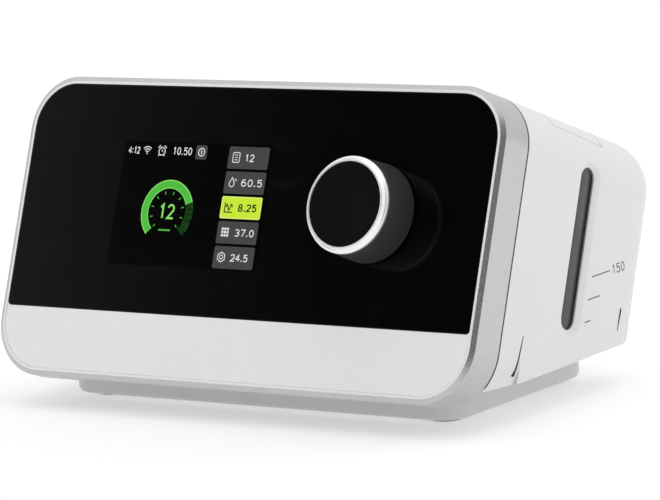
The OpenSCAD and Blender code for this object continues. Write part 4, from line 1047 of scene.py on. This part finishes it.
@dataclass
class FrontPanel(Assembly):
    """Metal band, black glass and lower fascia."""

    edge: float = 0.18
    rim: float = 0.25
    glass_corner: float = 1.6
    band_corner_top: float = 20.5
    band_corner_low: float = 22.0
    hole: float = 4.8
    joint: float = 0.1
    fascia_gap: float = 0.02
    corner_steps: int = 24
    lip: float = 1.0
    lip_raise: float = 0.07
    lip_root: float = 0.3
    gasket_gap: float = 0.02
    gasket_width: float = 0.8
    gasket_stand: float = 0.03
    gasket_lap: float = 0.35

    def build(self) -> None:
        """Makes the band with its lip in a painted highlight, the painted seam shadow behind it, the glass and the
        fascia.
        """
        dressed_copy("metal_band", ["front_bezel"], "case", BEZEL_SILVER, self.edge)
        self.bright_lip()
        self.gasket()
        self.glass()
        self.fascia()

    def band_outline(self) -> Outline:
        """Outer outline of the band as a function of how far it is drawn in."""
        low, high = self.box("front_bezel")
        radii = (self.band_corner_low, self.band_corner_low, self.band_corner_top, self.band_corner_top)
        return corner_outline((low[0], low[2]), (high[0], high[2]), radii, self.corner_steps)

    def bright_lip(self) -> None:
        """Lip round glass and fascia: a thin ring on the band's flat front edge, near white as a painted highlight
        of the band's silver.
        """
        outline = self.band_outline()
        band, glass = self.box("front_bezel"), self.box("front_glass")
        inner = glass[0][0] - band[0][0] - self.joint
        outer = inner - self.lip
        section = [(outer, self.lip_root), (outer, 0.0), (outer + self.lip_raise, -self.lip_raise)]
        self.piece("bright_lip", slab(outline, section, lambda inset: outline(inner + inset)), LIP_PAINTED_HIGHLIGHT)

    def gasket(self) -> None:
        """Painted shadow in the seam between band and case: a dark strip round their sides and top, lapped over
        the case's edge.
        """
        _, band_high = self.box("front_bezel")
        shell_low, _ = self.box("main_shell")
        points = self.band_outline()(self.gasket_width / 2 - self.gasket_stand)
        below = points[:, 1] < shell_low[2] + self.gasket_width
        start = np.flatnonzero(below)[-1] + 1
        path = np.roll(points, -start, 0)[:np.count_nonzero(~below)]
        front, back = band_high[1] + self.gasket_gap, shell_low[1] + self.gasket_lap
        # a dark rubber strip that stands in for the shade in the seam
        self.piece("seam_painted_shadow", ribbon(path, self.gasket_width, front, back), SOFT_RUBBER)

    def section(self, back: float, start: float = 0.0) -> list[tuple[float, float]]:
        """Rings of a panel's section: straight side, rounded rim, and one ring that keeps the front flat.

        Args:
            back: Depth of the panel's back.
            start: Inset of its side.

        Returns:
            Inset and depth of each ring.
        """
        turn = np.radians(np.linspace(0, 90, 6))
        rim = [(start + self.rim * (1 - math.cos(a)), self.rim * (1 - math.sin(a))) for a in turn]
        return [(start, back), *rim, (start + self.rim * 2, 0.0)]

    def glass(self) -> None:
        """Glass: rings from the rounded rim to the round hole for the knob's bush."""
        low, high = self.box("front_glass")
        _, band_high = self.box("front_bezel")
        top = self.band_corner_top - (band_high[2] - high[2])
        outline = corner_outline((low[0], low[2]), (high[0], high[2]),
                                 (self.glass_corner, self.glass_corner, top, top), self.corner_steps)
        knob_low, knob_high = self.box("knob_cap")
        centre = (knob_low + knob_high)[[0, 2]] / 2

        def hole(inset: float) -> Array:
            """The hole's point at the angle of each point of the glass's outline."""
            away = outline(0.0) - centre
            return centre + away / np.linalg.norm(away, axis=1)[:, None] * (self.hole - inset)

        shape = slab(outline, self.section(high[1]), hole)
        self.piece("glass_panel", shape, PANEL_BLACK, ["front_glass"], sharp=25)

    def fascia(self) -> None:
        """Fascia: its lower corners follow the band, and its upper corners run up round the glass's."""
        low, high = self.box("lower_fascia")
        glass_low, _ = self.box("front_glass")
        corner = self.band_corner_low - (glass_low[0] - self.box("front_bezel")[0][0])
        rectangle = corner_outline((low[0], low[2]), (high[0], high[2]), (corner,) * 4, self.corner_steps)
        centre_x, centre_z = high[0] - self.glass_corner, glass_low[2] + self.glass_corner

        def outline(inset: float) -> Array:
            """Lower corners, then the hollow arcs round the glass's corners, drawn in by inset."""
            radius = self.glass_corner + glass_low[2] - high[2] + inset
            end = -math.degrees(math.acos(min((self.glass_corner - inset) / radius, 1.0)))
            right = arc((centre_x, centre_z), (radius, radius), end, -90, 16)
            lower = rectangle(inset)[:2 * self.corner_steps]
            return np.concatenate([lower, right, (right * (-1, 1))[::-1]])

        shape = slab(outline, self.section(high[1], self.fascia_gap - self.joint))
        self.piece("silver_fascia", shape, FASCIA_SILVER, ["lower_fascia"], sharp=25)


@dataclass
class Screen(Assembly):
    """Picture on the display, drawn from its centre in millimetres: u across and v up the face."""

    half_width: float = 35.35
    half_height: float = 23.65
    layers: tuple[float, ...] = (-0.02, -0.05, -0.075, -0.1)
    line: float = 0.34
    tile_left: float = 15.1
    tile_right: float = 34.0
    tile_height: float = 8.4
    tile_top: float = 22.8
    tile_pitch: float = 9.4
    icon_u: float = 18.8
    lit_tile: int = 2
    tile_numbers: tuple[str, ...] = ("12", "60.5", "8.25", "37.0", "24.5")
    number_lefts: tuple[float, ...] = (22.6, 22.6, 23.0, 23.2, 23.0)
    number_rights: tuple[float, ...] = (27.4, 33.0, 32.0, 32.6, 31.4)
    gauge: tuple[float, float] = (-10.2, -3.0)
    gauge_radius: float = 10.6
    parts: dict[Finish, list[Shape]] = field(default_factory=dict)

    def centre(self) -> Array:
        """Centre of the display module on the face, as x and rise."""
        low, high = self.box("display_module")
        return ((low + high) / 2)[[0, 2]]

    def add(self, finish: Finish, shape: Shape) -> None:
        """Keeps a shape for the piece of one finish."""
        self.parts.setdefault(finish, []).append(shape)

    def stroke(self, finish: Finish, path: Array, width: float = 0.0, layer: int = 3,
               closed: bool = False) -> None:
        """Adds a line on a layer.

        Args:
            finish: Its finish.
            path: Points (u, v).
            width: Its width, or 0 for the usual one.
            layer: Number of its layer.
            closed: Whether it is a loop.
        """
        back, front = self.layers[0], self.layers[layer]
        self.add(finish, ribbon(path, width or self.line, back, front, closed))

    def fill(self, finish: Finish, outline: Outline, layer: int) -> None:
        """Adds a filled outline on a layer."""
        self.add(finish, slab(outline, [(0.0, self.layers[0]), (0.0, self.layers[layer])]))

    def number(self, finish: Finish, line: float, *place: Union[str, float]) -> None:
        """Adds a plain number of one line width, whose text and place are those of Digits.paths."""
        for path in Digits.paths(*place):
            self.stroke(finish, path, line)

    def build(self) -> None:
        """Draws the picture and makes one piece a finish."""
        w, h = self.half_width, self.half_height
        self.fill(SCREEN_BLACK, corner_outline((-w, -h), (w, h), (0.6,) * 4, 6), 1)
        self.status_row()
        self.tiles()
        self.ring_gauge()
        x, rise = self.centre()
        for finish, shapes in self.parts.items():
            points, faces = merge_shapes(shapes)
            self.piece(f"picture_{finish.name}", (points + (x, 0.0, rise), faces), finish)

    def status_row(self) -> None:
        """Clock, radio arcs, alarm, a plain number and a small tile along the top."""
        radio, alarm, badge = np.array([(-24.1, 18.8), (-17.0, 20.0), (2.0, 20.2)])
        self.number(GLOW_WHITE, self.line, "4:12", -33.2, 20.1, 2.6, 5.6)
        for radius in (1.1, 1.95, 2.8):
            self.stroke(GLOW_WHITE, arc(radio, (radius, radius), 48, 132, 9), 0.32)
        self.fill(GLOW_WHITE, ring_outline(radio + (0.0, 0.2), 0.3, 16), 3)
        self.stroke(GLOW_WHITE, ring_outline(alarm, 1.5, 28)(0), closed=True)
        self.stroke(GLOW_WHITE, alarm + [(0.0, 0.85), (0.0, 0.0), (0.6, -0.2)], 0.24)
        for side in (-1, 1):
            bell = 90 - 40 * side
            self.stroke(GLOW_WHITE, arc(alarm, (2.35, 2.35), bell - 17, bell + 17, 6))
            self.stroke(GLOW_WHITE, alarm + [(side * 1.0, -1.25), (side * 1.5, -1.8)], 0.3)
        self.number(GLOW_WHITE, self.line, "10.50", -12.0, 20.3, 2.9, 9.6)
        self.fill(GLOW_TILE, corner_outline((-0.7, 17.4), (4.6, 22.8), (0.8,) * 4, 6), 2)
        self.stroke(GLOW_WHITE, ring_outline(badge, 1.45, 28)(0), 0.36, closed=True)
        self.stroke(GLOW_WHITE, badge + [(0.0, 0.7), (0.0, -0.7)], 0.42)

    def tiles(self) -> None:
        """Five tiles, each with an icon and a plain number, the lit one in lime with dark ink."""
        icons = (self.list_icon, self.drop_icon, self.curve_icon, self.grid_icon, self.nut_icon)
        for i, icon in enumerate(icons):
            top = self.tile_top - i * self.tile_pitch
            lit = i == self.lit_tile
            box = corner_outline((self.tile_left, top - self.tile_height), (self.tile_right, top),
                                 (0.7,) * 4, 6)
            self.fill(GLOW_LIME if lit else GLOW_TILE, box, 2)
            if lit:
                self.stroke(GLOW_PALE_LIME, box(0.25), 0.3, closed=True)
            ink = INK_DARK if lit else GLOW_WHITE
            middle = top - self.tile_height / 2
            icon(ink, np.array([self.icon_u, middle + 0.1]))
            left, right = self.number_lefts[i], self.number_rights[i]
            self.number(ink, 0.56 if lit else 0.4, self.tile_numbers[i], left, middle, 2.7, right - left)

    def list_icon(self, ink: Finish, at: Array) -> None:
        """A sheet with three lines."""
        sheet = corner_outline(at - (1.55, 1.85), at + (1.55, 1.85), (0.5,) * 4, 4)
        self.stroke(ink, sheet(0.0), 0.32, closed=True)
        for k in (-1, 0, 1):
            self.stroke(ink, at + [(-0.75, k * 0.9), (0.75, k * 0.9)], 0.24)

    def drop_icon(self, ink: Finish, at: Array) -> None:
        """A water drop: a circle's lower part closed by two lines to a tip, beside three rising lines."""
        drop = np.concatenate([arc((-0.35, -0.55), (1.15, 1.15), 150, 390, 20), [(-0.35, 1.75)]])
        self.stroke(ink, at + drop, 0.32, closed=True)
        for k in range(3):
            self.stroke(ink, at + [(1.0 + k * 0.42, 0.5), (1.0 + k * 0.42, 1.5 - k * 0.25)], 0.2)

    def curve_icon(self, ink: Finish, at: Array) -> None:
        """A rising and falling curve in a frame: height sin(a) over one and a half turns."""
        a = np.linspace(0, 3 * np.pi, 28)
        self.stroke(ink, at + np.stack([(a / (1.5 * np.pi) - 1) * 1.5 + 0.15, 1.1 * np.sin(a)], -1), 0.5)
        self.stroke(ink, at + [(-1.85, 1.9), (-1.85, -1.9), (1.85, -1.9)], 0.46)

    def grid_icon(self, ink: Finish, at: Array) -> None:
        """Nine small squares."""
        for i in (-1, 0, 1):
            for j in (-1, 0, 1):
                low = at + np.array([i, j]) * 1.22 - 0.46
                self.fill(ink, corner_outline(low, low + 0.92, (0.1,) * 4, 3), 3)

    def nut_icon(self, ink: Finish, at: Array) -> None:
        """A hexagon round a ring."""
        self.stroke(ink, at + arc((0, 0), (1.85, 1.85), 30, 330, 6), 0.34, closed=True)
        self.stroke(ink, at + ring_outline((0, 0), 0.75, 24)(0), 0.3, closed=True)

    def ring_gauge(self) -> None:
        """A three-quarter ring gauge in greens, with marks outside it and a plain number inside."""
        centre, radius = np.array(self.gauge), self.gauge_radius
        bands = ((GLOW_DARK_GREEN, 0.0, -45, 90, 3.6, 1), (GLOW_GREEN, 0.0, 20, 80, 3.2, 2),
                 (GLOW_PALE_GREEN, 1.45, 20, 80, 0.4, 3), (GLOW_PALE_GREEN, -1.45, 20, 80, 0.3, 3))
        for finish, outer, start, steps, width, layer in bands:
            self.stroke(finish, arc(centre, (radius + outer,) * 2, start, 225, steps), width, layer)
        for angle in np.radians(np.linspace(-45, 225, 10)):
            way = np.array([np.cos(angle), np.sin(angle)])
            ends = np.array([radius - 2.6, radius - 3.8])[:, None]
            self.stroke(GLOW_GREEN, centre + ends * way, 0.35, 2)
        self.number(GLOW_PALE_GREEN, 0.76, "12", centre[0] - 4.3, centre[1] + 0.2, 5.6, 8.2)
        self.stroke(GLOW_GREEN, centre + [(-2.8, -6.9), (2.8, -6.9)], 0.6, 2)


@dataclass
class Knob(Assembly):
    """Dial: dark sleeve, bright ring and black cap, turned round the encoder's axis."""

    steps: int = 192
    sleeve_front: float = 18.0
    cap_radius: float = 15.7
    cap_gap: float = 0.05
    cap_dish: float = 0.12
    sleeve_wall: float = 2.0
    hub_radius: float = 5.5
    hub_height: float = 4.0
    bore_radius: float = 3.01
    bore_roof: float = 2.3

    @staticmethod
    def axis_frame() -> tuple[tuple[float, ...], tuple[float, ...]]:
        """Origin and turn of a frame whose third axis is the knob's axis.

        Returns:
            Origin in metres, and turn about x, y and z in radians.
        """
        joint = next(j for j in frame["joints"] if j["name"] == "knob_turn")
        axis = joint["axis"]
        return tuple(joint["pos_m"]), (math.atan2(-axis[1], axis[2]), 0.0, 0.0)

    def part(self, name: str, node: str, profile: Array, finish: Finish, closed: bool = False) -> None:
        """Makes a piece of the dial by turning a profile round the cap's axis.

        Args:
            name: The piece's name.
            node: The CAD node that it stands for.
            profile: Radius and height above the face of each profile point.
            finish: Its finish.
            closed: Whether the profile is a loop.
        """
        shape = self.turned("knob_cap", profile, self.steps, closed, -1)
        self.piece(name, shape, finish, [node], "knob", 28)

    def build(self) -> None:
        """Makes the ring, the cap and the sleeve: each profile lists the radius and height of its corners."""
        ring_low, ring_high = self.box("knob_ring")
        sleeve_low, sleeve_high = self.box("knob_sleeve")
        base, front, cap_top = -ring_high[1], -ring_low[1], -self.box("knob_cap")[0][1]
        outer, inner = (ring_high[0] - ring_low[0]) / 2, self.cap_radius + self.cap_gap
        ring = [(inner, base), (outer, base), (outer, base + 0.9), (outer - 0.4, base + 1.25),
                (outer - 0.75, base + 1.4), (outer - 1.3, front - 0.15), (outer - 1.5, front), (inner, front)]
        self.part("dial_ring", "knob_ring", rounded(ring, 0.09, closed=True), RING_CHROME, True)
        cap = [(0.0, base), (self.cap_radius, base), (self.cap_radius, cap_top - 0.3),
               (self.cap_radius - 0.35, cap_top)]
        r = np.linspace(self.cap_radius - 0.6, 0.0, 14)
        face = np.stack([r, cap_top - self.cap_dish * (1 - (r / self.cap_radius) ** 2) ** 2], -1)
        self.part("dial_cap", "knob_cap", np.concatenate([rounded(cap, 0.2), face]), CAP_BLACK)
        rear, foot = (sleeve_high[0] - sleeve_low[0]) / 2, -sleeve_high[1]
        hub, bore, wall, roof = self.hub_radius, self.bore_radius, self.sleeve_wall, base - self.bore_roof
        sleeve = [(0.0, base), (self.sleeve_front, base), (rear, foot + 0.4), (rear - 0.4, foot),
                  (rear - wall, foot), (self.sleeve_front - wall, base - wall), (hub, base - wall),
                  (hub, self.hub_height), (bore, self.hub_height), (bore, roof), (0.0, roof)]
        self.part("dial_sleeve", "knob_sleeve", rounded(sleeve, 0.25), KNOB_GREY)


@dataclass
class Base(Assembly):
    """Plinth halves on rubber feet."""

    edge: float = 0.35

    def build(self) -> None:
        """Makes the two halves of the plinth."""
        dressed_copy("plinth_left", ["base_left"], "case", PLINTH_PLASTIC, self.edge)
        dressed_copy("plinth_right", ["base_right"], "case", PLINTH_PLASTIC, self.edge)


@dataclass
class WaterSystem(Assembly):
    """Clear tank with its liner, and the smoked pane of the water window."""

    pane_crown: float = 0.55
    pane_flange: float = 1.35
    pane_seat: float = 1.0
    rows: int = 9

    def build(self) -> None:
        """Makes the tank, the liner and the pane."""
        dressed_copy("clear_tank", ["tank_body"], "tank", TANK_CLEAR, 0.3)
        dressed_copy("clear_liner", ["lid_liner"], "lid", LINER_CLEAR, 0.25)
        self.pane()

    def pane(self) -> None:
        """Pane: a racetrack whose outer face is crowned by crown * (1 - s^2), with s from middle to rim."""
        low, high = self.box("window_lens")
        flange, seat = self.pane_flange, self.pane_seat
        half = (high[1] - low[1]) / 2 - flange
        middle = (low + high) / 2
        reach = (high[2] - low[2]) / 2 - flange - half

        def track(radius: float, x: float) -> Array:
            """Points of a racetrack of one radius at one x."""
            upper = arc((middle[1], middle[2] + reach), (radius, radius), 0, 180, 24)
            lower = arc((middle[1], middle[2] - reach), (radius, radius), 180, 360, 24)
            return np.insert(np.concatenate([upper, lower]), 0, x, axis=1)

        shares = np.linspace(1.0, 0.0, self.rows)
        top = high[0]
        rings = [track(half + flange, low[0]), track(half + flange, low[0] + seat),
                 track(half, low[0] + seat), track(half, top - self.pane_crown)]
        rings += [track(half * s, top - self.pane_crown * s * s) for s in shares]
        faces = tube_faces(len(rings), len(rings[0]), ends=1)
        # its finish paints the lit tank wall as a lighter band in front
        self.piece("smoked_pane", (np.concatenate(rings), faces), SMOKED_LENS, ["window_lens"], sharp=30)


@dataclass
class AirSystem(Assembly):
    """Air outlet and the pin in the power socket, on the rear cover."""

    pin_radius: float = 0.8
    pin_length: float = 6.5
    socket_depth: float = 9.0
    pin_sunk: float = 0.2

    def build(self) -> None:
        """Makes the outlet tube and the socket's pin."""
        dressed_copy("outlet_tube", ["outlet_port"], "case", OUTLET_PLASTIC, 0.25)
        self.socket_pin()

    def socket_pin(self) -> None:
        """Pin on the power socket's axis: a profile with a rounded tip, turned round the socket's axis."""
        _, high = self.box("power_inlet")
        floor = high[1] - self.socket_depth - self.pin_sunk
        r, end = self.pin_radius, floor + self.pin_length
        profile = np.concatenate([[(0.0, floor), (r, floor)], arc((0.0, end - r), (r, r), 0, 90, 8)])
        self.piece("socket_pin", self.turned("power_inlet", profile, 32), BRIGHT_METAL)


@dataclass
class Studio:
    """Floor, soft lights, surroundings and camera."""

    focal: float = 238.45
    azimuth: float = 37.626
    elevation: float = 9.862
    roll: float = -4.493
    distance: float = 1.6409
    target: tuple[float, float, float] = (0.00825, -0.012586, 0.05355)
    floor_half: float = 6.0
    floor_rows: int = 9
    floor_glow: float = 0.42
    room: float = 0.8
    sky: float = 0.3
    patches: tuple[tuple[float, ...], ...] = ((-36.0, 26.0, 5.0, 13.0, 0.98), (26.0, 30.0, 16.0, 30.0, 0.9))

    def build(self) -> None:
        """Makes the studio."""
        self.camera()
        self.floor()
        self.surroundings()
        self.softbox("overhead", (0.1, 0.25, 1.3), (0.0, 0.0, 0.05), (1.3, 1.0), 2.4)
        self.softbox("right_back", (0.6, 0.42, 0.42), (0.1, 0.03, 0.06), (0.35, 0.4), 0.55)
        self.softbox("left_strip", (-1.2, -0.35, 0.75), (0.0, -0.05, 0.06), (0.35, 1.1), 0.6)

    def camera(self) -> None:
        """Camera at the photograph's angle: azimuth and elevation round the target, rolled about its axis."""
        a, e = math.radians(self.azimuth), math.radians(self.elevation)
        back = Vector((math.sin(a) * math.cos(e), -math.cos(a) * math.cos(e), math.sin(e)))
        data = bpy.data.cameras.new("camera")
        data.lens, data.sensor_width, data.sensor_fit = self.focal, 36.0, "HORIZONTAL"
        data.clip_start, data.clip_end = 0.05, 30.0
        camera = bpy.data.objects.new("camera", data)
        bpy.context.scene.collection.objects.link(camera)
        turn = (-back).to_track_quat("-Z", "Y").to_matrix().to_4x4()
        camera.matrix_world = (Matrix.Translation(Vector(self.target) + back * self.distance) @ turn
                               @ Matrix.Rotation(math.radians(self.roll), 4, "Z"))
        bpy.context.scene.camera = camera

    def floor(self) -> None:
        """Pale floor: a flat grid just under the feet."""
        u = np.linspace(-self.floor_half, self.floor_half, self.floor_rows)
        x, y = np.meshgrid(u, u, indexing="xy")
        points = np.stack([x.ravel(), y.ravel(), np.full(x.size, CAD_BOX[0].z - 0.0001)], -1)
        mesh = bpy.data.meshes.new("studio_floor")
        faces = grid_faces(self.floor_rows, self.floor_rows, closed_cols=False).tolist()
        mesh.from_pydata(points.tolist(), [], faces)
        plane = bpy.data.objects.new("studio_floor", mesh)
        bpy.context.scene.collection.objects.link(plane)
        material = bpy.data.materials.new("studio_floor")
        material.use_nodes = True
        graph = Graph(material.node_tree)
        grain = graph.noise(graph.place(), 4.0, 3.0)
        surface = graph.node("ShaderNodeBsdfPrincipled", inputs={
            "Base Color": graph.blend(grain, (0.60, 0.60, 0.60), (0.62, 0.62, 0.62)),
            "Roughness": 0.8 + grain * 0.05, "Specular IOR Level": 0.2,
            "Emission Color": (1.0, 1.0, 1.0, 1.0), "Emission Strength": self.floor_glow})
        graph.node("ShaderNodeOutputMaterial", inputs={"Surface": surface})
        mesh.materials.append(material)

    def surroundings(self) -> None:
        """White room that is darker in two soft patches, which the glass and the band's chamfer mirror."""
        world = bpy.data.worlds.new("studio")
        bpy.context.scene.world = world
        world.use_nodes = True
        graph = Graph(world.node_tree)
        x, y, z = graph.parts(graph.node("ShaderNodeTexCoord", output="Generated"))

        def patch(azimuth: float, elevation: float, inner: float, outer: float) -> Value:
            """1 within inner degrees of a direction, 0 beyond outer degrees, from the cosine to it."""
            a, e = math.radians(azimuth), math.radians(elevation)
            way = (math.sin(a) * math.cos(e), -math.cos(a) * math.cos(e), math.sin(e))
            cosine = x * way[0] + y * way[1] + z * way[2]
            return cosine.between(math.cos(math.radians(outer)), math.cos(math.radians(inner)))

        level = self.room + z * self.sky
        for azimuth, elevation, inner, outer, depth in self.patches:
            level = level * (1 - depth * patch(azimuth, elevation, inner, outer))
        shader = graph.node("ShaderNodeBackground", inputs={0: (1.0, 1.0, 1.0, 1.0), 1: level})
        graph.node("ShaderNodeOutputWorld", inputs={"Surface": shader})
        bpy.context.scene.view_settings.view_transform = "Standard"

    def softbox(self, name: str, place: Sequence[float], aim: Sequence[float], size: Sequence[float],
                power: float) -> None:
        """Adds a soft rectangular light.

        Args:
            name: Its name.
            place: Its place in metres.
            aim: The point that it faces.
            size: Its width and height in metres.
            power: Its power in watts.
        """
        data = bpy.data.lights.new(name, "AREA")
        data.shape, data.size, data.size_y, data.energy = "RECTANGLE", size[0], size[1], power
        lamp = bpy.data.objects.new(name, data)
        bpy.context.scene.collection.objects.link(lamp)
        lamp.location = place
        lamp.rotation_euler = (Vector(aim) - Vector(place)).to_track_quat("-Z", "Y").to_euler()


def dress_nodes() -> None:
    """Gives each CAD node that still shows the detailed material of its slot in the record."""
    by_slot = {finish.slot: finish for finish in PLAIN_FINISHES}
    for part in frame["record"]["subparts"]:
        node = frame["nodes"][part["node"]]
        if node.hide_render:
            continue
        material = by_slot[part["material_slot"]].material()
        if not node.material_slots:
            node.data.materials.append(material)
        for holder in node.material_slots:
            holder.material = material
        log.info("%s keeps its solid, in %s", node.name, material.name)


def main() -> None:
    logging.basicConfig(level=logging.INFO, format="%(name)s %(message)s")
    lean = Lean.from_frame()
    log.info("lean %.2f degrees, origin %.3f back, %.3f up", math.degrees(math.asin(lean.sin)), lean.back,
             lean.up)
    for assembly in (Studio(), Case(lean), FrontPanel(lean), Screen(lean), Knob(lean), Base(lean),
                     WaterSystem(lean), AirSystem(lean)):
        assembly.build()
        log.info("%s built", type(assembly).__name__)
    dress_nodes()


if __name__ == "__main__":
    main()
